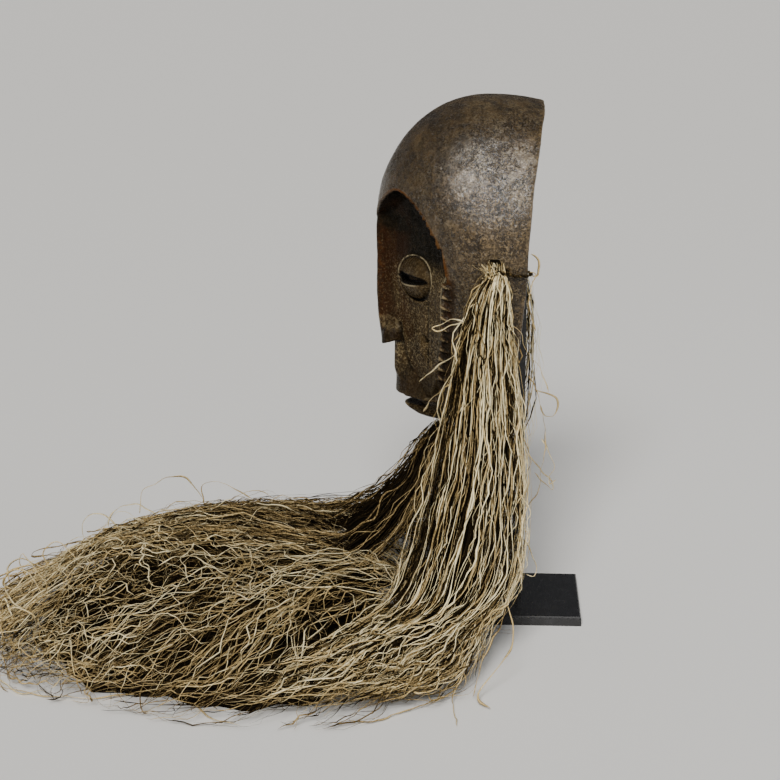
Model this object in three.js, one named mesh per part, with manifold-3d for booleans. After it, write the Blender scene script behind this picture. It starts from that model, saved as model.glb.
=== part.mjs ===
// A carved wooden face mask with a long raffia beard, held upright by its display stand.
// Millimetres, +Z up, the face looks along -Y, and +X is the wearer's left.
// The origin is under the middle of the stand's plate.
import * as THREE from "three";
import { mergeVertices } from "three/addons/utils/BufferGeometryUtils.js";
import Module from "manifold-3d";

const wasm = await Module();
wasm.setup();

// The head is a rounded shell about a middle at (0, HEAD_Y, HEAD_Z).
const HEAD_Y = -28;
const HEAD_Z = 320;
const HEAD_WIDE = 87;
const HEAD_FRONT = 87;
const HEAD_BACK = 138;
const CROWN_RISE = 95;
const CHIN_DROP = 164;
const CHIN_POWER_WIDE = 2.1;
const CHIN_POWER_DEEP = 3;
const HEAD_ROWS = 26;
const HEAD_SIDES = 48;
const HOLLOW_ROWS = 14;
const HOLLOW_SIDES = 28;
const WALL = 11;
const FACE_WALL = 10;
const HOLLOW_TOP = 8.5;
const HOLLOW_OPENING = 2.2;

// The open back is cut along this curve, as (y, z) from above the crown to below the chin.
const RIM_LINE = [
  [16, 425],
  [12.5, 400],
  [4, 338],
  [1, 280],
  [-3, 235],
  [-16, 150],
];
const RIM_STEPS = 14;

// Half of the heart-shaped face's outline, as (x, z) from the cusp between the brows down to the chin.
const HEART = [
  [0, 321],
  [22, 335],
  [44.5, 346.5],
  [64, 338.5],
  [75, 319],
  [79, 292],
  [76, 264],
  [67, 229],
  [50, 194],
  [26, 165],
  [0, 156],
];
const HEART_STEPS = 32;
const BROW_Z = 346.5;
const WIDEST_Z = 292;

// The face's ground: flat behind the nose, cheeks sloping back, a lean towards the chin, hollow brows.
const FACE_Y = -100.5;
const FACE_FLAT_HALF = 11;
const CHEEK_SLOPE = 0.62;
const CHEEK_LEAN = 0.11;
const CHEEK_LEAN_Z = 275;
const LEAN_FROM_X = 13;
const LEAN_TO_X = 27;
const BROW_HOLLOW = 5;
const BROW_HOLLOW_X = 58;
const BROW_HOLLOW_Z = 312;
const BROW_HOLLOW_SPREAD = 25;

// The grid lines on which the ground is drawn, closer together where it bends.
const GROUND_X = [-90, -76, -62, -48, -36, -27, -19, -11, 0, 11, 19, 27, 36, 48, 62, 76, 90];
const GROUND_Z = [140, 165, 190, 215, 240, 260, 275, 290, 305, 320, 336, 355, 376];

// The nose, from the forehead down: height, ridge y, half the ridge, half the foot, lift of the foot.
const NOSE = [
  [342, -108, 2, 8, 0],
  [326, -114.2, 2.5, 10.5, 0],
  [312, -115.3, 3, 12, 0],
  [300, -115.2, 3.2, 12, 0],
  [262, -114.1, 4.2, 12.5, 0],
  [241, -112.8, 5.8, 15.5, 0],
  [229, -112, 7.5, 18.5, 2.5],
  [219.5, -111, 8, 17, 5.5],
];
const NOSE_BACK_Y = -90;

// Eyes: coffee-bean ovals that bulge from the cheeks, with a slit right through.
const EYE_X = 38;
const EYE_Z = 277.6;
const EYE_HALF_WIDE = 26;
const EYE_HALF_TALL = 18.3;
const EYE_BULGE = 7;
const EYE_SINK = 2;
const SLIT_X = 36;
const SLIT_Z = 278.6;
const SLIT_LONG = 42;
const SLIT_TALL = 6;
const SLIT_TILT = -1.3;

// The lips, from below: height, front y, half the front, side y and half the width.
const UPPER_LIP = [
  [180, -100, 12, -76, 38],
  [217, -98.5, 5, -93, 12],
];
const LOWER_LIP = [
  [155.5, -75, 6, -61, 13],
  [160, -85, 8, -65, 19],
  [166, -91, 9, -68, 23],
  [171.5, -93.5, 8, -70, 24],
];
const LIP_BACK_Y = -58;
const LIP_BELLY = 1.5;
const MOUTH_HALF = 20;
const MOUTH_LOW = 171.5;
const MOUTH_HIGH = 180.5;
const MOUTH_BACK_Y = -40;

// A raised band along the cheek's lower edge, and the saw teeth outside it.
const BAND_WIDE = 12;
const BAND_HIGH = 2.4;
const BAND_OVERHANG = 0.8;
const BAND_FROM_Z = 291;
const BAND_TO_Z = 206;
const BAND_STEPS = 8;
const TEETH = 10;
const TOOTH_FROM_Z = 279.5;
const TOOTH_PITCH = 8.5;
const TOOTH_LONG = 7;
const TOOTH_TALL = 6.4;
const TOOTH_PROUD = 2.6;
const TOOTH_ROOT = 4;

// Tie holes near the rim on both sides, as (y, z).
const TIE_HOLES = [
  [-15, 293],
  [-14, 252],
  [-20, 215],
  [-34, 182],
];
const TIE_HOLE_R = 2.6;

// The left tie cord, out of the upper hole, back over the rim and in again, as (x, y, z).
const TIE_PATH = [
  [90.2, -11.5, 291.2],
  [88.5, 2.5, 290.5],
  [84.5, 6, 290.5],
  [76, 6, 291],
  [71.5, 3, 291.5],
  [70.5, -4, 292],
];
const TIE_R = 1.7;
const TIE_STEPS = 12;

// The stand: a square steel plate with a bevelled top edge, and a square bar with two arms.
const PLATE_SIDE = 100;
const PLATE_HIGH = 8;
const PLATE_BEVEL = 2.2;
const BAR = 6;
const BAR_TOP = 394;
const CROWN_ARM_Y = -34;
const CHIN_ARM_Z = 198;
const CHIN_ARM_HALF = 10;
const PAD_GAP = 0.6;
const CROWN_DIP = 0.985;

// The raffia's tufts: middle (x, y, z), half the thickness and half the width at stations down each.
const LEFT_TUFT = [
  [92, -23, 303, 4, 7],
  [91, -21, 295, 3.2, 6],
  [92.5, -22.5, 288, 4.5, 9],
  [95, -27, 272, 8, 16],
  [99, -31, 241, 12, 25],
  [103, -32, 200, 17, 33],
  [107, -34, 161, 21, 38],
  [113, -37, 124, 26, 42],
  [124, -44, 82, 32, 45],
  [144, -78, 36, 34, 46],
];
const RIGHT_TUFT = [
  [-92, -21, 303, 4, 7],
  [-91, -19, 295, 3.2, 6],
  [-93, -18, 286, 5.5, 9],
  [-95, -15, 272, 8, 14],
  [-99, -12, 241, 12, 23],
  [-102, -14, 200, 16, 29],
  [-105, -20, 155, 19, 35],
  [-107, -31, 115, 22, 42],
  [-111, -50, 78, 24, 46],
  [-115, -84, 40, 25, 46],
];
const CHIN_TUFT = [
  [0, -62, 150, 7, 26],
  [0, -70, 135, 12, 38],
  [0, -84, 107, 16, 50],
  [0, -108, 81, 18, 60],
  [0, -140, 60, 18, 68],
  [0, -170, 48, 18, 70],
];
const TUFT_RINGS = 15;
const TUFT_SIDES = 16;
const LOCK_DEPTH = 0.1;

// The heap on the floor: its plan as (x, y) from beside the plate round to the other side.
const HEAP_PLAN = [
  [90, 6],
  [154, -10],
  [212, -44],
  [245, -122],
  [250, -205],
  [196, -372],
  [120, -414],
  [20, -424],
  [-56, -370],
  [-130, -270],
  [-146, -120],
  [-96, 4],
  [-64, -52],
  [0, -64],
  [64, -52],
];
const HEAP_MIDDLE = [30, -240];
const HEAP_STEPS = 60;
const HEAP_RINGS = 8;
const HEAP_HIGH = 80;
const HEAP_LIP = 5;
const HEAP_SHOULDER = 0.85;
const HEAP_RIPPLE = 0.035;
const HEAP_RIPPLES = 7;
const TUFT_GAP = 0.5;

// Solids from meshes, and back.

function solid(geometry) {
  const flat = geometry.index ? geometry.toNonIndexed() : geometry;
  const bare = new THREE.BufferGeometry();
  bare.setAttribute("position", flat.getAttribute("position").clone());
  const merged = mergeVertices(bare, 1e-3);
  return new wasm.Manifold(
    new wasm.Mesh({
      numProp: 3,
      vertProperties: merged.attributes.position.array,
      triVerts: new Uint32Array(merged.index.array),
    }),
  );
}

function geometryOf(body) {
  const mesh = body.getMesh();
  const geometry = new THREE.BufferGeometry();
  geometry.setAttribute("position", new THREE.BufferAttribute(mesh.vertProperties, mesh.numProp));
  geometry.setIndex(new THREE.BufferAttribute(mesh.triVerts, 1));
  const faceted = geometry.toNonIndexed();
  faceted.computeVertexNormals();
  return faceted;
}

// The solid with these points and triangles, turned inside out if its faces point inwards.
function closed(points, faces) {
  const made = (order) => {
    const geometry = new THREE.BufferGeometry().setFromPoints(points);
    geometry.setIndex(faces.flatMap(order));
    return solid(geometry);
  };
  const body = made(([a, b, c]) => [a, b, c]);
  return body.volume() > 0 ? body : made(([a, b, c]) => [a, c, b]);
}

function middleOf(points) {
  return points.reduce((sum, p) => sum.add(p), new THREE.Vector3()).divideScalar(points.length);
}

// A closed solid through rings with the same count of points; each end is a fan about its tip.
function lofted(rings, tips = [middleOf(rings[0]), middleOf(rings.at(-1))]) {
  const sides = rings[0].length;
  const points = [...rings.flat(), ...tips];
  const faces = [];
  for (let r = 0; r + 1 < rings.length; r++)
    for (let i = 0; i < sides; i++) {
      const a = r * sides + i;
      const b = r * sides + ((i + 1) % sides);
      faces.push([a, b, b + sides], [a, b + sides, a + sides]);
    }
  const last = (rings.length - 1) * sides;
  for (let i = 0; i < sides; i++) {
    const next = (i + 1) % sides;
    faces.push([next, i, points.length - 2], [last + i, last + next, points.length - 1]);
  }
  return closed(points, faces);
}

function box(x0, x1, y0, y1, z0, z1) {
  const geometry = new THREE.BoxGeometry(x1 - x0, y1 - y0, z1 - z0);
  return solid(geometry.translate((x0 + x1) / 2, (y0 + y1) / 2, (z0 + z1) / 2));
}

function mirrored(body) {
  return body.mirror([1, 0, 0]);
}

// A smooth curve through flat points, as evenly spaced points.
function smooth(flatPoints, steps, isClosed = false) {
  const knots = flatPoints.map(([a, b]) => new THREE.Vector3(a, b, 0));
  return new THREE.CatmullRomCurve3(knots, isClosed, "centripetal").getSpacedPoints(steps);
}

// The head's section at height z: how much of its width and of its depth is left.
function headShare(z, inset = 0) {
  if (z >= HEAD_Z) {
    const rise = Math.min(1, (z - HEAD_Z) / (CROWN_RISE - inset));
    const share = Math.sqrt(1 - rise ** 2);
    return [share, share];
  }
  const drop = Math.min(1, (HEAD_Z - z) / (CHIN_DROP - inset));
  return [
    (1 - drop ** CHIN_POWER_WIDE) ** (1 / CHIN_POWER_WIDE),
    (1 - drop ** CHIN_POWER_DEEP) ** (1 / CHIN_POWER_DEEP),
  ];
}

// How far forward the head's surface is at (x, z), and how far out at (y, z).
function headY(x, z) {
  const [wide, deep] = headShare(z);
  const across = Math.min(1, Math.abs(x) / (HEAD_WIDE * wide));
  return HEAD_Y - HEAD_FRONT * deep * Math.sqrt(1 - across ** 2);
}

function headX(y, z) {
  const [wide, deep] = headShare(z);
  const forward = Math.min(1, (HEAD_Y - y) / (HEAD_FRONT * deep));
  return HEAD_WIDE * wide * Math.sqrt(1 - forward ** 2);
}

// The whole head, or the smaller one inside its walls.
function head(inset, rows, sides) {
  const low = new THREE.Vector3(0, HEAD_Y, HEAD_Z - CHIN_DROP + inset);
  const high = new THREE.Vector3(0, HEAD_Y, HEAD_Z + CROWN_RISE - inset);
  const rings = [];
  for (let r = 1; r < rows; r++) {
    const turn = Math.cos((Math.PI * r) / rows);
    const z = HEAD_Z - turn * (turn > 0 ? HEAD_Z - low.z : high.z - HEAD_Z);
    const [wide, deep] = headShare(z, inset);
    const ring = [];
    for (let i = 0; i < sides; i++) {
      const angle = (2 * Math.PI * i) / sides;
      const reach = Math.cos(angle) > 0 ? HEAD_FRONT - inset : HEAD_BACK;
      const x = (HEAD_WIDE - inset) * wide * Math.sin(angle);
      ring.push(new THREE.Vector3(x, HEAD_Y - reach * deep * Math.cos(angle), z));
    }
    rings.push(ring);
  }
  return lofted(rings, [low, high]);
}

// Everything behind the rim's line, right across.
function behindRim() {
  const reach = 200;
  const line = smooth(RIM_LINE, RIM_STEPS).map((p) => new THREE.Vector2(p.x, p.y));
  const corners = [new THREE.Vector2(reach, line.at(-1).y), new THREE.Vector2(reach, line[0].y)];
  const shape = new THREE.Shape([...line, ...corners]);
  const geometry = new THREE.ExtrudeGeometry(shape, { depth: reach, bevelEnabled: false });
  geometry.translate(0, 0, -reach / 2);
  return solid(geometry.rotateY(Math.PI / 2).rotateX(Math.PI / 2));
}

// The face.

function faceY(x, z) {
  const slope = CHEEK_SLOPE * Math.max(0, Math.abs(x) - FACE_FLAT_HALF);
  const leaning = THREE.MathUtils.smoothstep(Math.abs(x), LEAN_FROM_X, LEAN_TO_X);
  const lean = CHEEK_LEAN * Math.max(0, CHEEK_LEAN_Z - z) * leaning;
  const away = Math.hypot(Math.abs(x) - BROW_HOLLOW_X, z - BROW_HOLLOW_Z) / BROW_HOLLOW_SPREAD;
  return FACE_Y + slope + lean + BROW_HOLLOW * Math.exp(-(away ** 2));
}

// The solid between the surfaces y = near(x, z) and y = far(x, z) over the ground's grid.
function between(near, far) {
  const wide = GROUND_X.length;
  const tall = GROUND_Z.length;
  const at = (i, j, side) => (side * tall + j) * wide + i;
  const points = [near, far].flatMap((surface) =>
    GROUND_Z.flatMap((z) => GROUND_X.map((x) => new THREE.Vector3(x, surface(x, z), z))),
  );
  const faces = [];
  const quad = (a, b, c, d) => faces.push([a, b, c], [a, c, d]);
  for (let j = 0; j + 1 < tall; j++)
    for (let i = 0; i + 1 < wide; i++) {
      quad(at(i, j, 0), at(i + 1, j, 0), at(i + 1, j + 1, 0), at(i, j + 1, 0));
      quad(at(i, j + 1, 1), at(i + 1, j + 1, 1), at(i + 1, j, 1), at(i, j, 1));
    }
  for (let i = 0; i + 1 < wide; i++) {
    quad(at(i, 0, 0), at(i, 0, 1), at(i + 1, 0, 1), at(i + 1, 0, 0));
    quad(at(i + 1, tall - 1, 0), at(i + 1, tall - 1, 1), at(i, tall - 1, 1), at(i, tall - 1, 0));
  }
  for (let j = 0; j + 1 < tall; j++) {
    quad(at(0, j + 1, 0), at(0, j + 1, 1), at(0, j, 1), at(0, j, 0));
    quad(at(wide - 1, j, 0), at(wide - 1, j, 1), at(wide - 1, j + 1, 1), at(wide - 1, j + 1, 0));
  }
  return closed(points, faces);
}

const heartHalf = smooth(HEART, HEART_STEPS);

// Half the face's width at height z, from its widest place down.
function heartX(z) {
  const below = heartHalf.findIndex((p) => p.y < Math.min(z, WIDEST_Z - 1) && p.x > 0);
  const [above, next] = [heartHalf[below - 1], heartHalf[below]];
  const share = Math.max(0, (above.y - z) / (above.y - next.y));
  return above.x + (next.x - above.x) * share;
}

// What is cut from the head to leave the face.
function faceCut() {
  const right = heartHalf.map((p) => new THREE.Vector2(p.x, p.y));
  const left = right.slice(1, -1).map((p) => new THREE.Vector2(-p.x, p.y));
  const shape = new THREE.Shape([...right, ...left.reverse()]);
  const depth = -(FACE_Y + headY(0, BROW_Z));
  const prism = solid(new THREE.ExtrudeGeometry(shape, { depth, bevelEnabled: false }).rotateX(Math.PI / 2));
  return prism.intersect(between(() => -depth, faceY));
}

// The space inside stays one wall behind the face's ground, and fills the crown above the brows.
function hollow() {
  const top = BROW_Z + HOLLOW_TOP;
  const reach = 130;
  const front = (x, z) => faceY(x, z) + FACE_WALL - HOLLOW_OPENING * Math.max(0, z - top);
  const crown = box(-reach, reach, -reach, reach, GROUND_Z.at(-1) - 1, HEAD_Z + CROWN_RISE);
  return head(WALL, HOLLOW_ROWS, HOLLOW_SIDES).intersect(between(front, () => reach).add(crown));
}

// How far forward the space inside reaches at (x, z).
function insideY(x, z) {
  const [wide, deep] = headShare(z, WALL);
  const across = Math.min(1, x / ((HEAD_WIDE - WALL) * wide));
  const behindShell = HEAD_Y - (HEAD_FRONT - WALL) * deep * Math.sqrt(1 - across ** 2);
  return Math.max(behindShell, faceY(x, z) + FACE_WALL);
}

// A level ring from half of its outline, mirrored to the other side.
function levelRing(half, z, rise = () => 0) {
  const other = half.map(([x, y]) => [-x, y]).reverse();
  return [...other, ...half].map(([x, y]) => new THREE.Vector3(x, y, z + rise(y)));
}

// From the ridge out, the nose's half has its flat, its rounded edge, a hollow flank and the foot.
function nose() {
  return lofted(
    NOSE.map(([z, ridgeY, ridge, foot, lift]) => {
      const groundY = faceY(0, z) + 1;
      const half = [
        [ridge * 0.6, ridgeY],
        [ridge * 1.5, ridgeY + 2.5],
        [ridge * 0.8 + foot * 0.35, (ridgeY + groundY) / 2 + 1],
        [foot, groundY],
        [foot, NOSE_BACK_Y],
      ];
      return levelRing(half, z, (y) => (lift * (y - ridgeY)) / (groundY - ridgeY));
    }),
  );
}

function lip(sections) {
  return lofted(
    sections.map(([z, frontY, frontHalf, sideY, sideHalf]) => {
      const half = [
        [frontHalf, frontY],
        [(frontHalf + sideHalf) / 2, (frontY + sideY) / 2 - LIP_BELLY],
        [sideHalf, sideY],
        [sideHalf, LIP_BACK_Y],
      ];
      return levelRing(half, z);
    }),
  );
}

// Moves a shape made about the origin, facing -Y, to the left cheek at (x, z).
function onCheek(geometry, x, z, sink = 0) {
  const place = new THREE.Matrix4().makeTranslation(x, faceY(x, z), z);
  place.multiply(new THREE.Matrix4().makeRotationZ(Math.atan(CHEEK_SLOPE)));
  place.multiply(new THREE.Matrix4().makeTranslation(0, sink, 0));
  return solid(geometry.applyMatrix4(place));
}

function eye() {
  const ball = new THREE.SphereGeometry(1, 24, 12).rotateX(-Math.PI / 2);
  return onCheek(ball.scale(EYE_HALF_WIDE, EYE_BULGE + EYE_SINK, EYE_HALF_TALL), EYE_X, EYE_Z, EYE_SINK);
}

function eyeSlit() {
  const depth = 70;
  const corners = 20;
  const points = [];
  for (let i = 0; i < corners; i++) {
    const angle = (2 * Math.PI * i) / corners;
    const lid = Math.sign(Math.sin(angle)) * Math.abs(Math.sin(angle)) ** 0.7;
    points.push(new THREE.Vector2((SLIT_LONG / 2) * Math.cos(angle), (SLIT_TALL / 2) * lid));
  }
  const geometry = new THREE.ExtrudeGeometry(new THREE.Shape(points), { depth, bevelEnabled: false });
  geometry.translate(0, 0, -depth / 2).rotateX(Math.PI / 2);
  return onCheek(geometry.rotateY(THREE.MathUtils.degToRad(SLIT_TILT)), SLIT_X, SLIT_Z);
}

function cheekBand() {
  const rings = [];
  for (let i = 0; i <= BAND_STEPS; i++) {
    const z = BAND_FROM_Z + ((BAND_TO_Z - BAND_FROM_Z) * i) / BAND_STEPS;
    const share = Math.min(1, 0.15 + i / 2);
    const outer = heartX(z) + BAND_OVERHANG;
    const inner = outer - BAND_WIDE * share;
    const middle = (outer + inner) / 2;
    const crestY = headY(outer - BAND_OVERHANG, z);
    rings.push([
      new THREE.Vector3(inner, faceY(inner, z) + 4, z),
      new THREE.Vector3(inner, faceY(inner, z) - 0.3, z),
      new THREE.Vector3(middle - 2, faceY(middle, z) - BAND_HIGH * share * 0.7, z),
      new THREE.Vector3(outer, crestY - 0.6 * share, z),
      new THREE.Vector3(outer, crestY + 6, z),
    ]);
  }
  return lofted(rings);
}

// One saw tooth: a low wedge on the head's side, from the cheek's crest back to a point.
function sawTooth(z) {
  const crestY = headY(heartX(z), z);
  const top = z + TOOTH_TALL / 2;
  const low = z - TOOTH_TALL / 2;
  const front = crestY - 1;
  const tip = crestY + TOOTH_LONG;
  const at = (y, height, proud) => new THREE.Vector3(headX(y, height) + proud, y, height);
  return lofted([
    [at(front, top, -TOOTH_ROOT), at(tip, low, -TOOTH_ROOT), at(front, low, -TOOTH_ROOT)],
    [at(front, top, 0.8), at(tip, low, TOOTH_PROUD / 2), at(front, low, TOOTH_PROUD)],
  ]);
}

function tieHole([y, z]) {
  const drill = new THREE.CylinderGeometry(TIE_HOLE_R, TIE_HOLE_R, HEAD_WIDE * 3, 8);
  return solid(drill.rotateZ(Math.PI / 2).translate(0, y, z));
}

function carvedMask() {
  let body = head(0, HEAD_ROWS, HEAD_SIDES).subtract(faceCut());
  body = body.add(nose()).add(lip(UPPER_LIP)).add(lip(LOWER_LIP));
  const left = [eye(), cheekBand()];
  for (let i = 0; i < TEETH; i++) left.push(sawTooth(TOOTH_FROM_Z - i * TOOTH_PITCH));
  for (const piece of left) body = body.add(piece).add(mirrored(piece));
  body = body.subtract(hollow()).subtract(behindRim());
  const slit = eyeSlit();
  body = body.subtract(slit).subtract(mirrored(slit));
  body = body.subtract(box(-MOUTH_HALF, MOUTH_HALF, FACE_Y * 2, MOUTH_BACK_Y, MOUTH_LOW, MOUTH_HIGH));
  for (const hole of TIE_HOLES) body = body.subtract(tieHole(hole));
  return body;
}

// The stand.

function standPlate() {
  const half = PLATE_SIDE / 2 - PLATE_BEVEL;
  const corners = [
    [-1, -1],
    [1, -1],
    [1, 1],
    [-1, 1],
  ];
  const shape = new THREE.Shape(corners.map(([x, y]) => new THREE.Vector2(x * half, y * half)));
  const bevelled = new THREE.ExtrudeGeometry(shape, {
    depth: PLATE_HIGH - PLATE_BEVEL,
    bevelThickness: PLATE_BEVEL,
    bevelSize: PLATE_BEVEL,
    bevelSegments: 3,
  });
  const side = PLATE_SIDE;
  return solid(bevelled).subtract(box(-side, side, -side, side, -PLATE_BEVEL * 2, 0));
}

function standBar() {
  const half = BAR / 2;
  const crownInside = HEAD_Z + (CROWN_RISE - WALL) * CROWN_DIP - PAD_GAP;
  const chinInside = insideY(CHIN_ARM_HALF, CHIN_ARM_Z) + PAD_GAP;
  const chinArmTop = CHIN_ARM_Z + BAR;
  return box(-half, half, -half, half, PLATE_HIGH, BAR_TOP)
    .add(box(-half, half, CROWN_ARM_Y, half, BAR_TOP - BAR, BAR_TOP))
    .add(box(-half, half, CROWN_ARM_Y, CROWN_ARM_Y + BAR, BAR_TOP - BAR, crownInside))
    .add(box(-half, half, chinInside, half, CHIN_ARM_Z, chinArmTop))
    .add(box(-CHIN_ARM_HALF, CHIN_ARM_HALF, chinInside, chinInside + BAR, CHIN_ARM_Z, chinArmTop));
}

// The raffia.

// A tuft through its stations, grooved into locks, or with a gap the plain room that it needs.
function tuft(stations, sideways, gap = 0) {
  const middles = new THREE.CatmullRomCurve3(stations.map(([x, y, z]) => new THREE.Vector3(x, y, z)));
  const sizes = new THREE.CatmullRomCurve3(stations.map(([, , , a, b]) => new THREE.Vector3(a, b, 0)));
  const rings = [];
  for (let r = 0; r < TUFT_RINGS; r++) {
    const share = r / (TUFT_RINGS - 1);
    const run = middles.getTangent(share);
    const out = new THREE.Vector3().crossVectors(sideways, run).normalize();
    const end = r === 0 ? -gap : r === TUFT_RINGS - 1 ? gap : 0;
    const middle = middles.getPoint(share).addScaledVector(run, end);
    const size = sizes.getPoint(share);
    const ring = [];
    for (let i = 0; i < TUFT_SIDES; i++) {
      const angle = (2 * Math.PI * i) / TUFT_SIDES;
      const lock = gap === 0 && i % 2 ? 1 - LOCK_DEPTH : 1;
      const thick = (size.x + gap) * lock * Math.cos(angle);
      const wide = (size.y + gap) * lock * Math.sin(angle);
      ring.push(middle.clone().addScaledVector(out, thick).addScaledVector(sideways, wide));
    }
    rings.push(ring);
  }
  return lofted(rings);
}

function heap() {
  const plan = smooth(HEAP_PLAN, HEAP_STEPS, true).slice(0, HEAP_STEPS);
  const [mx, my] = HEAP_MIDDLE;
  const ringAt = (share, high) =>
    plan.map((p, i) => {
      const ripple = Math.sin((2 * Math.PI * HEAP_RIPPLES * i) / HEAP_STEPS + share * 9);
      const z = high * (1 + HEAP_RIPPLE * ripple * share);
      return new THREE.Vector3(mx + (p.x - mx) * share, my + (p.y - my) * share, z);
    });
  const rings = [ringAt(1, 0)];
  for (let r = 0; r <= HEAP_RINGS; r++) {
    const share = Math.cos((Math.PI / 2) * (r / (HEAP_RINGS + 0.6)));
    rings.push(ringAt(share, HEAP_LIP + (HEAP_HIGH - HEAP_LIP) * (1 - share ** 2) ** HEAP_SHOULDER));
  }
  return lofted(rings);
}

// A round cord along points, with flat ends.
function cord(points, radius) {
  const curve = new THREE.CatmullRomCurve3(points.map((p) => new THREE.Vector3(...p)));
  const shape = new THREE.Shape();
  shape.absarc(0, 0, radius, 0, Math.PI * 2);
  const options = { extrudePath: curve, steps: TIE_STEPS, curveSegments: 4, bevelEnabled: false };
  return solid(new THREE.ExtrudeGeometry(shape, options));
}

// The object.

const WOOD = new THREE.MeshStandardMaterial({ color: 0x4d3d2c, roughness: 0.5, metalness: 0 });
const RAFFIA = new THREE.MeshStandardMaterial({ color: 0xb59b66, roughness: 0.75, metalness: 0 });
const STEEL = new THREE.MeshStandardMaterial({ color: 0x1c1c1e, roughness: 0.4, metalness: 0.6 });

const object = new THREE.Group();

function show(name, body, material) {
  const mesh = new THREE.Mesh(geometryOf(body), material);
  mesh.name = name;
  object.add(mesh);
}

const fore = new THREE.Vector3(0, 1, 0);
const aside = new THREE.Vector3(1, 0, 0);
const tufts = [
  ["beard_left", LEFT_TUFT, fore],
  ["beard_right", RIGHT_TUFT, fore],
  ["beard_chin", CHIN_TUFT, aside],
];

show("mask", carvedMask(), WOOD);
show("stand_plate", standPlate(), STEEL);
show("stand_bar", standBar(), STEEL);
let heapLeft = heap();
for (const [name, stations, sideways] of tufts) {
  show(name, tuft(stations, sideways), RAFFIA);
  heapLeft = heapLeft.subtract(tuft(stations, sideways, TUFT_GAP));
}
show("beard_heap", heapLeft, RAFFIA);
const tie = cord(TIE_PATH, TIE_R);
show("tie_left", tie, RAFFIA);
show("tie_right", mirrored(tie), RAFFIA);

export default object;
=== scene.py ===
import math

import bpy
import numpy as np
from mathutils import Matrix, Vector


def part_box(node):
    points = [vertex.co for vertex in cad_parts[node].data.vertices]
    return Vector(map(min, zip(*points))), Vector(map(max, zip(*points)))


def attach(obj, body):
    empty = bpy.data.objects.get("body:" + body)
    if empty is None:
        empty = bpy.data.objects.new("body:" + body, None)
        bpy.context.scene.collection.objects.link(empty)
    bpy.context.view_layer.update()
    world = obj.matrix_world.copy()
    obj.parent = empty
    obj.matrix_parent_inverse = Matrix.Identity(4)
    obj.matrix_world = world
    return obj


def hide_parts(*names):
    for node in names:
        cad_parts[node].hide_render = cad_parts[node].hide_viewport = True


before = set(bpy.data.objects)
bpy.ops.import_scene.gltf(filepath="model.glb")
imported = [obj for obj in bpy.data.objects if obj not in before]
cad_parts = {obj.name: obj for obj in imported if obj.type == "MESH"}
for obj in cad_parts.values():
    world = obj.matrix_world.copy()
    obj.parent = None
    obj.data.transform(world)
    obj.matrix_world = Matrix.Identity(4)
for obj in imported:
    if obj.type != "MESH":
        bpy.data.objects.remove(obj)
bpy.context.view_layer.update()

MM = 0.001
SEED = 9284

# The carving's sizes are in millimetres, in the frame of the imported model.
# The head is a rounded shell about a middle at (0, HEAD_Y, HEAD_Z).
HEAD_Y = -28.0
HEAD_Z = 320.0
HEAD_WIDE = 87.0
HEAD_FRONT = 87.0
HEAD_BACK = 138.0
CROWN_RISE = 95.0
CHIN_DROP = 164.0
CHIN_POWER_WIDE = 2.1
CHIN_POWER_DEEP = 3.0
WALL = 11.0
FACE_WALL = 10.0
RIM_LINE = [(16, 425), (12.5, 400), (4, 338), (1, 280), (-3, 235), (-16, 150)]

# Half of the heart-shaped face's outline, as (x, z) from the cusp between the brows to the chin.
HEART = [(0, 321), (22, 335), (44.5, 346.5), (64, 338.5), (75, 319), (79, 292), (76, 264)]
HEART += [(67, 229), (50, 194), (26, 165), (0, 156)]
BROW_Z = 346.5

# The face's ground and what is carved on it.
FACE_Y = -100.5
FACE_FLAT_HALF = 11.0
CHEEK_SLOPE = 0.62
CHEEK_LEAN = 0.11
CHEEK_LEAN_Z = 275.0
BROW_HOLLOW = 5.0
BROW_HOLLOW_AT = (58.0, 312.0)
BROW_HOLLOW_SPREAD = 25.0
BROW_GROOVE = 1.3
CHEEK_GROOVE = [(51.5, 264), (47.5, 240), (43, 212)]
CHEEK_PIT = (41.2, 230.7)
CHEEK_BUMP = (39.0, 221.0)
LOW_PIT = (49.6, 215.0)
LIP_GROOVE = [(16.5, 238), (18, 222), (21.5, 206), (29.5, 191.3), (36, 181)]
BAND_WIDE = 12.5
BAND_HIGH = 2.4
BAND_Z = (206.0, 288.0)

# The nose from its foot up: height, ridge y, half the ridge, half the foot, lift of the foot.
NOSE = np.array([
    (219.5, -111.2, 8, 14.5, 6.5),
    (229, -112.6, 7.5, 15.0, 3),
    (241, -114.2, 5.8, 13.5, 0),
    (262, -115.0, 4.2, 12.5, 0),
    (300, -115.2, 3.2, 12, 0),
    (312, -115.3, 3, 12, 0),
    (326, -114.2, 2.5, 10.5, 0),
    (342, -108, 2, 8, 0),
])
WING_AT = (12.0, -101.5, 223.0)
WING_HALF = (8.5, 9.5, 15.0)

# Eyes: coffee-bean ovals on the cheeks, as (x, z), with a slit right through.
EYE_AT = (38.0, 277.6)
EYE_HALF = (23.2, 17.2)
EYE_BULGE = 6.5
EYE_SINK = 2.0
EYE_RIM = 0.9
EYE_TRENCH = 3.0
SLIT_AT = (36.0, 278.6)
SLIT_HALF = (21.0, 3.4)
SLIT_TILT = -1.3

# The lips from below: height, front y, half the front, side y and half the width.
UPPER_LIP = np.array([
    (180, -100, 12, -76, 38),
    (199, -99.3, 8.5, -84.5, 25),
    (224, -98.2, 3.5, -96, 8),
])
LOWER_LIP = np.array([
    (159, -74, 6, -61, 12),
    (162.5, -83, 8, -64, 17),
    (167, -90, 8, -66, 20),
    (171.5, -95, 7, -68, 22),
])
LIP_BACK_Y = -58.0
MOUTH_HALF = 20.0
MOUTH_Z = (171.5, 180.5)
MOUTH_BACK_Y = -40.0

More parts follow.
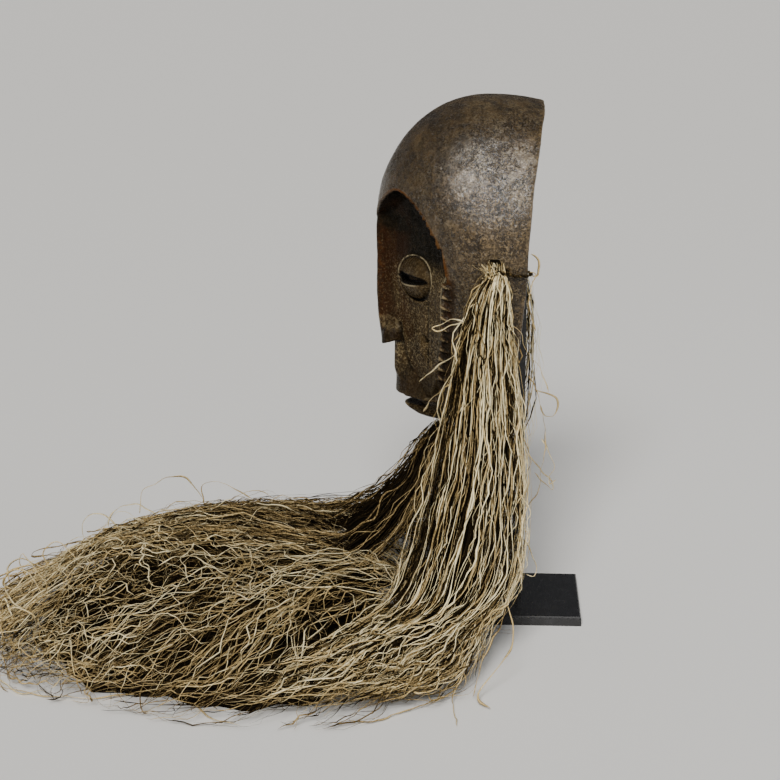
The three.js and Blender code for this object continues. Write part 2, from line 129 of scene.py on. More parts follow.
# The saw teeth on the head's side, behind the cheek's crest.
TEETH = 10
TOOTH_FROM_Z = 279.5
TOOTH_PITCH = 8.5
TOOTH_LONG = 7.0
TOOTH_TALL = 6.6
TOOTH_PROUD = 3.4

TIE_HOLES = [(-15, 293), (-14, 252), (-20, 215), (-34, 182)]
TIE_HOLE_R = 2.6

# The carving's grid, as (from, to, step) along each axis: finer over the face.
GRID_SIDE = [(14.0, 58.0, 1.4), (58.0, 93.0, 2.2)]
GRID_X = [(-93.0, -58.0, 2.2), (-58.0, -14.0, 1.4), (-14.0, 14.0, 1.6)] + GRID_SIDE
GRID_Y = [(-121.0, -54.0, 1.3), (-54.0, 22.0, 2.4)]
GRID_Z = [(150.0, 204.0, 1.7), (204.0, 350.0, 1.3), (350.0, 421.0, 2.4)]
GRID_COARSER = 1.0


# Meshes from arrays.

def mesh_object(name, points, *face_sets, marks=None):
    """A smooth-shaded object from points in millimetres and arrays of faces, with marks on its points."""
    mesh = bpy.data.meshes.new(name)
    mesh.vertices.add(len(points))
    mesh.vertices.foreach_set("co", (np.asarray(points) * MM).astype(np.float32).ravel())
    corners = np.concatenate([f.ravel() for f in face_sets]).astype(np.int32)
    totals = np.concatenate([np.full(len(f), f.shape[1]) for f in face_sets]).astype(np.int32)
    mesh.loops.add(len(corners))
    mesh.loops.foreach_set("vertex_index", corners)
    mesh.polygons.add(len(totals))
    mesh.polygons.foreach_set("loop_start", np.concatenate([[0], np.cumsum(totals)[:-1]]).astype(np.int32))
    mesh.update(calc_edges=True)
    for mark, values in (marks or {}).items():
        layer = mesh.attributes.new(mark, "FLOAT", "POINT")
        layer.data.foreach_set("value", np.asarray(values, np.float32))
    mesh.shade_smooth()
    made = bpy.data.objects.new(name, mesh)
    bpy.context.scene.collection.objects.link(made)
    return made


def curve_through(points, steps):
    """Points spread along a smooth curve through a few knots."""
    knots = np.asarray(points, float)
    knots = np.vstack([2 * knots[0] - knots[1], knots, 2 * knots[-1] - knots[-2]])
    spacing = np.sqrt(np.linalg.norm(np.diff(knots, axis=0), axis=1))
    times = np.concatenate([[0], np.cumsum(spacing)])
    wanted = np.linspace(times[1], times[-2], steps)
    piece = np.clip(np.searchsorted(times, wanted, "right") - 1, 1, len(knots) - 3)
    made = np.empty((steps, knots.shape[1]))
    for i, (t, k) in enumerate(zip(wanted, piece)):
        p, s = knots[k - 1:k + 3], times[k - 1:k + 3]
        a = [p[j] + (p[j + 1] - p[j]) * (t - s[j]) / (s[j + 1] - s[j]) for j in range(3)]
        b = [a[j] + (a[j + 1] - a[j]) * (t - s[j]) / (s[j + 2] - s[j]) for j in range(2)]
        made[i] = b[0] + (b[1] - b[0]) * (t - s[1]) / (s[2] - s[1])
    return made


def smooth_max(a, b, k):
    """The larger of two fields, with the edge between them rounded over k."""
    share = np.clip(0.5 + 0.5 * (a - b) / k, 0, 1)
    return b + (a - b) * share + k * share * (1 - share)


def smooth_min(a, b, k):
    return -smooth_max(-a, -b, k)


def near(distance, spread):
    return np.exp(-(distance / spread) ** 2)


def ramp(value, low, high):
    share = np.clip((value - low) / (high - low), 0, 1)
    return share * share * (3 - 2 * share)


# The carving as a field: negative inside the wood, in about millimetres.

def head_share(z):
    drop = np.clip((HEAD_Z - z) / CHIN_DROP, 0, 0.985)
    wide = (1 - drop ** CHIN_POWER_WIDE) ** (1 / CHIN_POWER_WIDE)
    deep = (1 - drop ** CHIN_POWER_DEEP) ** (1 / CHIN_POWER_DEEP)
    return drop, wide, deep


def outside_head(x, y, z):
    drop, wide, deep = head_share(z)
    rise = np.maximum(z - HEAD_Z, 0) / CROWN_RISE
    reach = np.where(y < HEAD_Y, HEAD_FRONT, HEAD_BACK)
    a = x / HEAD_WIDE
    b = (y - HEAD_Y) / reach
    level = (a / wide) ** 2 + (b / deep) ** 2 + rise ** 2 - 1
    wide_slope = drop ** (CHIN_POWER_WIDE - 1) * wide ** (1 - CHIN_POWER_WIDE) / CHIN_DROP
    deep_slope = drop ** (CHIN_POWER_DEEP - 1) * deep ** (1 - CHIN_POWER_DEEP) / CHIN_DROP
    across = 2 * a / (HEAD_WIDE * wide ** 2)
    along = 2 * b / (reach * deep ** 2)
    up = 2 * rise / CROWN_RISE - 2 * a ** 2 / wide ** 3 * wide_slope - 2 * b ** 2 / deep ** 3 * deep_slope
    return level / np.sqrt(across ** 2 + along ** 2 + up ** 2 + 1e-6)


def head_y(x, z):
    _, wide, deep = head_share(z)
    across = np.clip(np.abs(x) / (HEAD_WIDE * wide), 0, 1)
    return HEAD_Y - HEAD_FRONT * deep * np.sqrt(1 - across ** 2)


HEART_LINE = curve_through(HEART, 41)
HEART_TURN = int(np.argmax(HEART_LINE[:, 0]))
HEART_SIDE = HEART_LINE[HEART_TURN:][::-1]
CREST_Y = head_y(HEART_SIDE[:, 0], HEART_SIDE[:, 1])


def line_distance(a, b, line):
    """The distance from (a, b) to the nearest piece of a flat line."""
    best = None
    for (a0, b0), (a1, b1) in zip(line[:-1], line[1:]):
        run = (a1 - a0, b1 - b0)
        share = ((a - a0) * run[0] + (b - b0) * run[1]) / (run[0] ** 2 + run[1] ** 2)
        share = np.clip(share, 0, 1)
        gap = (a - a0 - share * run[0]) ** 2 + (b - b0 - share * run[1]) ** 2
        best = gap if best is None else np.minimum(best, gap)
    return np.sqrt(best)


def heart_distance(side, z):
    """The distance to the face's outline, negative inside it."""
    upper, lower = HEART_LINE[:HEART_TURN + 1], HEART_LINE[HEART_TURN:][::-1]
    top = np.interp(side, upper[:, 0], upper[:, 1])
    low = np.interp(side, lower[:, 0], lower[:, 1])
    inside = (z < top) & (z > low) & (side < HEART_LINE[HEART_TURN, 0])
    gap = line_distance(side, z, HEART_LINE)
    return np.where(inside, -gap, gap)


def plain_ground(side, z):
    slope = CHEEK_SLOPE * np.maximum(0, side - FACE_FLAT_HALF)
    lean = CHEEK_LEAN * np.maximum(0, CHEEK_LEAN_Z - z) * ramp(side, 13, 27)
    away = np.hypot(side - BROW_HOLLOW_AT[0], z - BROW_HOLLOW_AT[1])
    return FACE_Y + slope + lean + BROW_HOLLOW * near(away, BROW_HOLLOW_SPREAD)


def eye_share(side, z):
    """How far out (side, z) is from the middle of the eye, as a share of its oval."""
    along = (side - EYE_AT[0]) / math.cos(math.atan(CHEEK_SLOPE))
    return np.sqrt((along / EYE_HALF[0]) ** 2 + ((z - EYE_AT[1]) / EYE_HALF[1]) ** 2)


def carved_ground(side, z, edge):
    """The face's ground with its grooves, pits and raised band."""
    ground = plain_ground(side, z)
    ground = ground + BROW_GROOVE * near(edge + 2.2, 1.5) * ramp(z, 262, 300)
    band = ramp(edge, -BAND_WIDE - 1.5, -BAND_WIDE + 3.5) * ramp(z, BAND_Z[0] - 8, BAND_Z[0] + 4)
    band = band * (1 - ramp(z, BAND_Z[1] - 12, BAND_Z[1]))
    ground = ground - BAND_HIGH * band * (0.75 + 0.25 * near(edge + 1.5, 2.0))
    ground = ground + 1.5 * near(line_distance(side, z, CHEEK_GROOVE), 1.4)
    ground = ground + 6.5 * near(np.hypot(side - CHEEK_PIT[0], z - CHEEK_PIT[1]), 2.9)
    ground = ground + 4.5 * near(np.hypot(side - LOW_PIT[0], z - LOW_PIT[1]), 2.2)
    bump = np.hypot((side - CHEEK_BUMP[0]) / 3.2, (z - CHEEK_BUMP[1]) / 4.6)
    ground = ground - 2.2 * near(bump, 1.0)
    ground = ground + 1.6 * near(line_distance(side, z, LIP_GROOVE), 1.5)
    share = eye_share(side, z)
    ground = ground - EYE_RIM * near((share - 1.06) * 21, 0.8)
    low_side = ramp(EYE_AT[1] - z, 2, 12) * (1 - 0.85 * ramp(side, 41, 51))
    return ground + EYE_TRENCH * near((share - 0.93) * 21, 1.4) * low_side


def oval(distances, halves):
    """About the distance to an ellipsoid, from the distances to its middle."""
    level = sum((d / h) ** 2 for d, h in zip(distances, halves)) - 1
    slope = np.sqrt(sum((2 * d / h ** 2) ** 2 for d, h in zip(distances, halves)) + 1e-6)
    return level / slope


def nose_field(side, y, z):
    ridge_y, ridge, foot, lift = (np.interp(z, NOSE[:, 0], NOSE[:, k]) for k in range(1, 5))
    depth = FACE_Y + 1 - ridge_y
    share = np.clip((y - ridge_y) / depth, 0, 1)
    half = 1.4 * ridge + (foot - 1.4 * ridge) * share ** 2
    slope = (foot - 1.4 * ridge) * 2 * share / depth
    flank = (side - half) / np.sqrt(1 + slope ** 2)
    front = ridge_y + 0.02 * side ** 2 - y
    under = NOSE[0, 0] + lift * share - z
    body = smooth_max(flank, front, 3.0)
    wing = oval((side - WING_AT[0], y - WING_AT[1], z - WING_AT[2]), WING_HALF)
    body = smooth_min(body, wing, 2.0)
    body = smooth_max(body, under, 1.6)
    return np.maximum(body, np.maximum(z - NOSE[-1, 0] - 2, y + 88))


def lip_field(side, y, z, rows, belly):
    front_y, front_half, side_y, side_half = (np.interp(z, rows[:, 0], rows[:, k]) for k in range(1, 5))
    run, fall = side_half - front_half, side_y - front_y
    length = np.hypot(run, fall)
    share = np.clip(((side - front_half) * run + (y - front_y) * fall) / length ** 2, 0, 1)
    flank = ((side - front_half) * fall - (y - front_y) * run) / length - belly * 4 * share * (1 - share)
    body = smooth_max(flank, front_y - y, 4.0)
    body = smooth_max(body, rows[0, 0] - z, 2.0)
    body = smooth_max(body, z - rows[-1, 0], 2.0)
    return np.maximum(body, np.maximum(side - side_half - 2, y - LIP_BACK_Y))


def eye_fields(side, y, z):
    """The eye's bean, and the slit through it."""
    turn = math.atan(CHEEK_SLOPE)
    start_y = plain_ground(np.array(EYE_AT[0]), np.array(EYE_AT[1]))
    along = (side - EYE_AT[0]) * math.cos(turn) + (y - start_y) * math.sin(turn)
    out = (side - EYE_AT[0]) * math.sin(turn) - (y - start_y) * math.cos(turn)
    up = z - EYE_AT[1]
    tall = np.where(up < 0, EYE_HALF[1] * 0.86, EYE_HALF[1])
    bean = oval((along, up, out + EYE_SINK), (EYE_HALF[0], tall, EYE_BULGE + EYE_SINK))
    tilt = math.radians(SLIT_TILT)
    slit_up = (z - SLIT_AT[1]) * math.cos(tilt) + along * math.sin(tilt)
    slit_along = along - (SLIT_AT[0] - EYE_AT[0])
    lids = SLIT_HALF[1] * np.clip(1 - (slit_along / SLIT_HALF[0]) ** 2, 0, 1) ** 0.35
    lids = lids * (0.8 - 0.3 * slit_along / SLIT_HALF[0]) + 0.4 * np.clip(-out - 1, 0, 20)
    slit = np.maximum(np.abs(slit_up) - lids, np.abs(slit_along) - SLIT_HALF[0])
    return bean, np.maximum(slit, np.abs(out) - 34), slit_up


def saw_teeth(y, z):
    """How proud the saw teeth stand on the head's side."""
    back = (y - np.interp(z, HEART_SIDE[:, 1], CREST_Y)) / TOOTH_LONG
    proud = 0
    for i in range(TEETH):
        down = 0.5 - (z - (TOOTH_FROM_Z - i * TOOTH_PITCH)) / TOOTH_TALL
        off = np.abs(down - 0.34 - 0.42 * back) * 2.3
        along = np.clip(1 - off / np.maximum(1 - back, 0.05), 0, 1)
        inside = (back > -0.25) & (back < 1)
        proud = proud + np.where(inside, TOOTH_PROUD * along ** 0.9 * (1 - 0.3 * back), 0)
    return proud


def jaw_share(y, z):
    """1 on the head's side where the saw teeth stand, and 0 away from them."""
    back = (y - np.interp(z, HEART_SIDE[:, 1], CREST_Y)) / TOOTH_LONG
    low = TOOTH_FROM_Z - (TEETH - 0.5) * TOOTH_PITCH
    by_height = ramp(z, low - 6, low) * (1 - ramp(z, TOOTH_FROM_Z + 4, TOOTH_FROM_Z + 9))
    return ramp(-back, -1.5, -0.9) * by_height


def rim_y(z):
    line = curve_through(RIM_LINE, 30)[::-1]
    return np.interp(z, line[:, 1], line[:, 0])


def carving(x, y, z):
    side = np.abs(x)
    edge = heart_distance(side, z)
    shell = outside_head(x, y, z)
    inner = shell + WALL
    shell = shell - saw_teeth(y, z) * (side > 30)
    ground = carved_ground(side, z, edge)
    fillet = 1.5 + 11 * ramp(z, 292, 325) * (1 - ramp(side, 34, 56))
    body = smooth_max(shell, -smooth_max(edge, y - ground, fillet), 0.9)
    body = smooth_max(body, 157.0 - z, 2.0)
    body = smooth_min(body, nose_field(side, y, z), 3.0)
    body = smooth_min(body, lip_field(side, y, z, UPPER_LIP, 1.5), 1.0)
    body = smooth_min(body, lip_field(side, y, z, LOWER_LIP, 1.5), 2.0)
    bean, slit, slit_up = eye_fields(side, y, z)
    body = smooth_min(body, bean, 0.6)
    top = BROW_Z + FACE_WALL * 0.85
    front = plain_ground(side, z) + FACE_WALL - 2.2 * np.maximum(0, z - top)
    steep = np.where(z > top, 0.42, 0.85)
    body = smooth_max(body, -np.maximum(inner, (front - y) * steep), 2.0)
    body = smooth_max(body, y - rim_y(z), 1.8)
    body = smooth_max(body, -slit, np.where(slit_up > 0, 0.7, 3.2))
    mouth = np.maximum(np.maximum(MOUTH_Z[0] - z, z - MOUTH_Z[1]), side - MOUTH_HALF)
    mouth = np.maximum(mouth, y - MOUTH_BACK_Y)
    body = smooth_max(body, -mouth, 2.0)
    for hole_y, hole_z in TIE_HOLES:
        drill = np.maximum(np.hypot(y - hole_y, z - hole_z) - TIE_HOLE_R, 30 - side)
        body = smooth_max(body, -drill, 1.0)
    return body


def relief(x, y, z, rng, waves, lengths):
    """A gentle uneven surface: waves in random directions, from -1 to 1."""
    total = 0
    for _ in range(waves):
        way = rng.normal(size=3)
        way *= 2 * math.pi / (np.linalg.norm(way) * rng.uniform(*lengths))
        total = total + np.sin(x * way[0] + y * way[1] + z * way[2] + rng.uniform(0, 6.3))
    return total / math.sqrt(waves)


def grid_line(pieces):
    """Places along one axis, spaced as each piece says."""
    places = [np.array([pieces[0][0]])]
    for start, end, step in pieces:
        places.append(np.linspace(start, end, math.ceil((end - start) / (step * GRID_COARSER)) + 1)[1:])
    return np.concatenate(places)


def surface_net(values, axes):
    """Points and quads on the surface where the field changes sign, one point for each cell it crosses."""
    inside = values < 0
    shape = np.array(values.shape) - 1
    cuts = [(i, j, k) for i in (0, 1) for j in (0, 1) for k in (0, 1)]
    count = np.zeros(shape, np.int8)
    for i, j, k in cuts:
        count += inside[i:i + shape[0], j:j + shape[1], k:k + shape[2]]
    cells = np.argwhere((count > 0) & (count < 8))
    number = np.full(shape, -1, np.int32)
    number[tuple(cells.T)] = np.arange(len(cells))
    corner = {c: values[tuple((cells + c).T)] for c in cuts}
    total = np.zeros((len(cells), 3))
    crossings = np.zeros(len(cells))
    for a in cuts:
        for axis in range(3):
            if a[axis]:
                continue
            b = tuple(1 if k == axis else a[k] for k in range(3))
            crossed = (corner[a] < 0) != (corner[b] < 0)
            gap = np.where(crossed, corner[a] - corner[b], 1)
            share = np.where(crossed, corner[a] / gap, 0)
            place = np.array(a, float) + share[:, None] * (np.array(b) - np.array(a))
            total += place * crossed[:, None]
            crossings += crossed
    at = cells + total / crossings[:, None]
    points = np.stack([np.interp(at[:, k], np.arange(len(axes[k])), axes[k]) for k in range(3)], 1)
    faces = []
    for axis in range(3):
        one, two = [k for k in range(3) if k != axis]
        if axis == 1:
            one, two = two, one
        start = [slice(None)] * 3
        start[axis] = slice(0, -1)
        end = [slice(None)] * 3
        end[axis] = slice(1, None)
        before, after = inside[tuple(start)], inside[tuple(end)]
        for turned, changed in ((False, before & ~after), (True, ~before & after)):
            at = np.argwhere(changed)
            ring = []
            for d_one, d_two in ((-1, -1), (0, -1), (0, 0), (-1, 0)):
                shift = np.zeros(3, int)
                shift[one], shift[two] = d_one, d_two
                ring.append(number[tuple((at + shift).T)])
            quad = np.stack(ring, 1)
            faces.append(quad[:, ::-1] if turned else quad)
    return points, np.concatenate(faces)


def carve_mask():
    axes = [grid_line(pieces) for pieces in (GRID_X, GRID_Y, GRID_Z)]
    x, y, z = np.meshgrid(*axes, indexing="ij", sparse=True)
    points, quads = surface_net(carving(x, y, z), axes)
    rng = np.random.default_rng(SEED)
    seeds = rng.integers(1 << 30, size=3)

    def finished(p):
        x, y, z = p.T
        broad = relief(x, y, z, np.random.default_rng(seeds[0]), 10, (22, 60))
        fine = relief(x, y, z, np.random.default_rng(seeds[1]), 14, (5, 12))
        return carving(x, y, z) + 0.28 * broad + 0.07 * fine

    def slope_at(p, reach=0.35):
        steps = np.eye(3) * reach
        return np.stack([(finished(p + s) - finished(p - s)) / (2 * reach) for s in steps], 1)

    for _ in range(2):
        slope = slope_at(points)
        size = np.maximum((slope ** 2).sum(1), 0.25)
        move = -finished(points)[:, None] * slope / size[:, None]
        points = points + np.clip(move, -0.6, 0.6)
    reach = 2.0
    level = finished(points)
    bend = sum(finished(points + s) + finished(points - s) for s in np.eye(3) * reach)
    bend = (bend - 6 * level) / reach ** 2
    x, y, z = points.T
    side = np.abs(x)
    edge = heart_distance(side, z)
    depth = -outside_head(x, y, z)
    in_hollow = ramp(depth, WALL * 0.45, WALL * 0.8) * (y > plain_ground(side, z) + 5)
    _, slit, slit_up = eye_fields(side, y, z)
    front = (edge < 3) & (y < plain_ground(side, z) + 4)
    marks = {
        "edge_wear": np.clip(bend * 1.4, 0, 1) * np.where(edge < -3, ramp(slit, 2.4, 3.6), 1),
        "cavity": np.clip(-bend * 1.2, 0, 1),
        "inside": in_hollow * ramp(slit, 0.8, 2.5),
        "edge": np.clip(edge, -15, 15),
        "depth": np.where(edge < 3, np.clip(depth, -1, 9), 0),
        "face": ramp(-edge, -0.2, 1.0) * (y < plain_ground(side, z) + 4),
        "eye": np.where(front, np.clip((eye_share(side, z) - 1.06) * 21, -25, 10), 10),
        "slit": np.where(edge < -3, np.clip(slit, -3, 9), 9),
        "slit_up": np.clip(slit_up, -15, 15),
        "nose": np.where(front, np.clip(nose_field(side, y, z), -3, 9), 9),
        "tooth": saw_teeth(y, z) / TOOTH_PROUD * (side > 30) * (edge > -1),
        "jaw": jaw_share(y, z) * (side > 30) * (edge > -0.3),
        # How far forward on the head a point is: the patina is thinned there as painted shade.
        "front": ramp(-y, 15, 90) * (edge > 0),
    }
    return mesh_object("mask_wood", points, quads, marks=marks)


# Materials.

class Finish:
    """A node material that is built up step by step."""

    def __init__(self, name):
        self.material = bpy.data.materials.new(name)
        self.material.use_nodes = True
        self.tree = self.material.node_tree
        self.shader = self.tree.nodes["Principled BSDF"]
        self.place = self.tree.nodes.new("ShaderNodeTexCoord").outputs["Object"]

    def link(self, value, socket):
        if isinstance(value, bpy.types.NodeSocket):
            self.tree.links.new(value, socket)
        elif value is not None:
            socket.default_value = value

    def node(self, kind, inputs=(), **settings):
        made = self.tree.nodes.new("ShaderNode" + kind)
        for key, value in settings.items():
            setattr(made, key, value)
        for key, value in dict(inputs).items():
            self.link(value, made.inputs[key])
        return made

    def mark(self, name):
        return self.node("Attribute", attribute_name=name).outputs["Fac"]

    def split(self, vector):
        made = self.node("SeparateXYZ", {"Vector": vector})
        return made.outputs[0], made.outputs[1], made.outputs[2]

    def stretched(self, scale):
        return self.node("Mapping", {"Vector": self.place, "Scale": scale}).outputs["Vector"]

    def noise(self, scale, detail=4.0, rough=0.55, vector=None, warp=0.0):
        inputs = {"Vector": vector or self.place, "Scale": scale, "Detail": detail, "Roughness": rough}
        inputs["Distortion"] = warp
        return self.node("TexNoise", inputs).outputs["Fac"]

    def math(self, operation, a, b=None):
        made = self.node("Math", operation=operation)
        for socket, value in zip(made.inputs, (a, b)):
            self.link(value, socket)
        return made.outputs[0]

    def times(self, first, *others):
        for other in others:
            first = self.math("MULTIPLY", first, other)
        return first

    def plus(self, a, b):
        return self.math("ADD", a, b)

    def less(self, a, b):
        return self.math("SUBTRACT", a, b)

    def most(self, a, b):
        return self.math("MAXIMUM", a, b)

    def off(self, value, place):
        """How far a value is from a place, on either side."""
        return self.math("ABSOLUTE", self.less(value, place))

    def spread(self, value, low, high, to_low=0.0, to_high=1.0):
        inputs = {"Value": value, "From Min": low, "From Max": high, "To Min": to_low, "To Max": to_high}
        return self.node("MapRange", inputs, interpolation_type="SMOOTHSTEP").outputs["Result"]

    def mix(self, share, a, b, blend="MIX"):
        made = self.node("Mix", data_type="RGBA", blend_type=blend)
        self.link(share, made.inputs[0])
        self.link(a, made.inputs[6])
        self.link(b, made.inputs[7])
        return made.outputs[2]

    def bump(self, height, distance, strength=1.0, under=None):
        inputs = {"Height": height, "Distance": distance, "Strength": strength}
        if under is not None:
            inputs["Normal"] = under
        return self.node("Bump", inputs).outputs["Normal"]

    def set(self, **values):
        for key, value in values.items():
            self.link(value, self.shader.inputs[key.replace("_", " ")])
        return self.material


def shade(red, green, blue):
    return (red, green, blue, 1.0)


WOOD_BLACK = shade(0.004, 0.003, 0.0018)
WOOD_DARK = shade(0.012, 0.0078, 0.0038)
WOOD_BROWN = shade(0.062, 0.040, 0.018)
WOOD_PATINA = shade(0.236, 0.182, 0.098)
WOOD_OCHRE = shade(0.208, 0.137, 0.057)
WOOD_SLATE = shade(0.042, 0.039, 0.036)
WOOD_PALE = shade(0.36, 0.30, 0.19)
WOOD_RED = shade(0.034, 0.012, 0.004)
WOOD_ORANGE = shade(0.13, 0.045, 0.008)
WOOD_OLIVE_AND_SHADE = shade(0.0065, 0.0052, 0.0024)
WOOD_RAW = shade(0.060, 0.038, 0.020)
# A darkening multiplied over the recessed face: painted shade.
WOOD_PAINTED_SHADE = shade(0.80, 0.80, 0.77)

# The patina's fine cracks: their noise's scale and width, and the scale and levels of where there are none.
CRAZING = [(170.0, 0.042, 48.0, 0.58, 0.44), (330.0, 0.06, 36.0, 0.52, 0.42)]

# Marks on the head's left side, as the (y, z) of their two ends, and the place that hands have polished.
CRACKS = [((-30.5, 356.5), (-17.5, 351.0)), ((-18.0, 351.5), (-15.0, 344.0))]
CRACK_HALF = 0.9
SCRAPES = [((-12.6, 354.9), (2.2, 369.0)), ((-8.0, 353.5), (3.5, 365.5))]
SCRAPE_HALF = 1.0
CHIP = ((-19.4, 338.6), (-16.8, 338.6))
CHIP_HALF = 1.2
POLISHED_AT = (-20.0, 358.0)
POLISHED_HALF = (52.0, 46.0)

# Heights between which a colour comes in or fades out.
# The crown's and the temple's heights thin the patina as painted shade.
CROWN_SHADE_FADE = (340.0, 410.0)
TEMPLE_SHADE_FADE = (285.0, 350.0)
OLIVE_AND_SHADE_FADE = (281.0, 297.0)
BROW_LINE_FADE = (276.0, 292.0)
CREST_TOP = (298.0, 294.0)
CREST_FADE = (205.0, 282.0)
JOWL_SPECKS = (185.0, 215.0)
JOWL_DARK = (212.0, 190.0)
LIP_TOP = (180.0, 174.0)
LIP_HIGHLIGHT = (167.0, 169.5)
EYE_RING_HIGHLIGHT_FADE = (264.0, 284.0)
LOW_LID_SHADOW = (281.0, 275.0)
NOSE_TOP = (318.0, 300.0)
NOSE_HIGHLIGHT_Z = 237.5
NOSE_SHADE_Z = 226.0
CREST_INSET = 3.4
LID_HIGHLIGHT_OFF_SLIT = 2.7


class Wood(Finish):
    """The carving's wood, with its places in millimetres and the noises that mottle it."""

    def __init__(self, name):
        super().__init__(name)
        self.x, self.y, self.z = (self.times(part, 1 / MM) for part in self.split(self.place))
        self.side = self.off(self.x, 0.0)
        self.grain = self.noise(75.0, 6.0, 0.65, self.stretched((1.0, 1.0, 0.2)), 0.5)
        self.blotch = self.noise(34.0, 5.0, 0.62, warp=0.6)
        self.patch = self.noise(17.0, 4.0, 0.55, warp=0.4)
        self.speck = self.noise(620.0, 3.0, 0.7)
        self.fleck = self.noise(270.0, 5.0, 0.76, warp=0.5)
        self.whole = self.times(*(self.uncracked(*row) for row in CRAZING))
        recess = self.spread(self.mark("depth"), 0.8, 1.5), self.spread(self.mark("edge"), 1.5, 0.5)
        self.in_face = self.most(self.times(*recess), self.mark("face"))

    def uncracked(self, scale, wide, places, none, some):
        """1 on whole patina, and 0 in fine wandering cracks."""
        line = self.spread(self.off(self.noise(scale, 2.0, 0.5, warp=1.3), 0.5), wide * 0.3, wide)
        return self.most(line, self.spread(self.noise(places, 3.0, 0.6), none, some))

    def tint(self, colour, new, *shares):
        return self.mix(self.times(*shares), colour, new)

    def scratch(self, start, end, half):
        """A thin wavering line on the head's left side between two places, as (y, z)."""
        length = math.dist(start, end)
        run = ((end[0] - start[0]) / length, (end[1] - start[1]) / length)
        y, z = self.less(self.y, start[0]), self.less(self.z, start[1])
        gone = self.plus(self.times(y, run[0]), self.times(z, run[1]))
        off = self.less(self.times(z, run[0]), self.times(y, run[1]))
        off = self.plus(off, self.spread(self.noise(150.0, 3.0), 0.3, 0.7, -1.6, 1.6))
        line = self.spread(self.off(off, 0.0), half, half * 0.4)
        within = self.spread(self.off(gone, length / 2), length / 2, length / 2 - 2)
        return self.times(line, within, self.spread(self.x, 0.0, 10.0))

    def spot(self, middle, halves):
        """1 in the middle of an oval place on the head's sides, as (y, z), and 0 past its edge."""
        y, z = (self.times(self.less(value, at), 1 / half)
                for value, at, half in zip((self.y, self.z), middle, halves))
        return self.spread(self.plus(self.times(y, y), self.times(z, z)), 1.0, 0.1)


def head_colour(f):
    """Dark wood under a tan patina, which is thinned in front, on the crown and low down as painted shade.
    """
    colour = f.mix(f.spread(f.grain, 0.3, 0.68), WOOD_DARK, WOOD_BROWN)
    tan = f.mix(f.spread(f.patch, 0.42, 0.62, 0.0, 0.9), WOOD_PATINA, WOOD_OCHRE)
    shade_by_place = f.spread(f.mark("front"), 0.0, 1.0, 1.0, 0.22), f.spread(f.z, *CROWN_SHADE_FADE, 1.0, 0.42)
    mottled = f.spread(f.fleck, 0.43, 0.55, 0.14, 1.0), f.spread(f.speck, 0.43, 0.55, 0.2, 1.0)
    shade_low_down = f.spread(f.z, *TEMPLE_SHADE_FADE, 0.6, 1.0)
    colour = f.tint(colour, tan, f.spread(f.blotch, 0.33, 0.56, 0.35, 1.0), *shade_by_place, shade_low_down, *mottled)
    slate = f.spread(f.noise(26.0, 5.0, 0.66, warp=0.8), 0.57, 0.67, 0.0, 0.7)
    colour = f.tint(colour, WOOD_SLATE, slate, f.spread(f.fleck, 0.3, 0.6, 1.0, 0.3))
    return f.tint(colour, WOOD_DARK, f.less(1.0, f.whole), 0.92)


def add_damage(f, colour):
    """Two cracks that meet, two scrapes and a small chip."""
    crack = f.most(*(f.scratch(*ends, CRACK_HALF) for ends in CRACKS))
    colour = f.tint(colour, WOOD_BLACK, crack, 0.9)
    for ends in SCRAPES:
        colour = f.tint(colour, WOOD_DARK, f.scratch(*ends, SCRAPE_HALF), 0.75)
    return f.tint(colour, WOOD_ORANGE, f.scratch(*CHIP, CHIP_HALF))


def add_face(f, colour):
    """The saw teeth's dark red ground, partly painted shade between the teeth, then the face: brown with
    pale specks, olive black under the brow, partly painted shade.
    """
    # Dark red over the saw teeth: the wood's red, darkened as painted shade between the teeth.
    reddish = f.mix(f.spread(f.grain, 0.35, 0.7), WOOD_DARK, WOOD_RED)
    colour = f.tint(colour, reddish, f.mark("jaw"), f.spread(f.fleck, 0.3, 0.6, 0.97, 0.75))
    face = f.mix(f.spread(f.grain, 0.3, 0.7, 0.2, 1.0), WOOD_DARK, WOOD_BROWN)
    specks = f.spread(f.speck, 0.49, 0.58), f.spread(f.fleck, 0.42, 0.56, 0.1, 1.0)
    face = f.tint(face, WOOD_PATINA, *specks, f.spread(f.z, *JOWL_SPECKS, 0.35, 1.0))
    face = f.tint(face, WOOD_DARK, f.spread(f.z, *JOWL_DARK, 0.0, 0.55))
    # Near black under the brow: the wood's dark olive, with painted shade in the recess.
    olive = f.tint(WOOD_OLIVE_AND_SHADE, WOOD_BROWN, f.spread(f.fleck, 0.5, 0.68), 0.35)
    face = f.tint(face, olive, f.spread(f.z, *OLIVE_AND_SHADE_FADE))
    face = f.tint(face, WOOD_RED, f.spread(f.patch, 0.44, 0.56), f.spread(f.side, 34.0, 20.0), 0.5)
    return f.tint(colour, face, f.in_face)


def add_lower_lip(f, colour):
    """The lower lip, dark with a painted highlight on its front edge, and where it is."""
    low = f.times(f.spread(f.z, *LIP_TOP), f.spread(f.y, -52.0, -60.0))
    # A pale patch on the lip's front edge: a painted highlight.
    lip_highlight = f.times(f.spread(f.z, *LIP_HIGHLIGHT), f.spread(f.y, -88.5, -91.5))
    lip = f.mix(f.spread(f.fleck, 0.45, 0.62, 0.1, 0.7), WOOD_DARK, WOOD_BROWN)
    colour = f.tint(colour, lip, low, 0.9)
    colour = f.tint(colour, WOOD_PATINA, low, f.spread(f.speck, 0.5, 0.6, 0.0, 0.4))
    return f.tint(colour, WOOD_PATINA, low, lip_highlight, 0.8), low


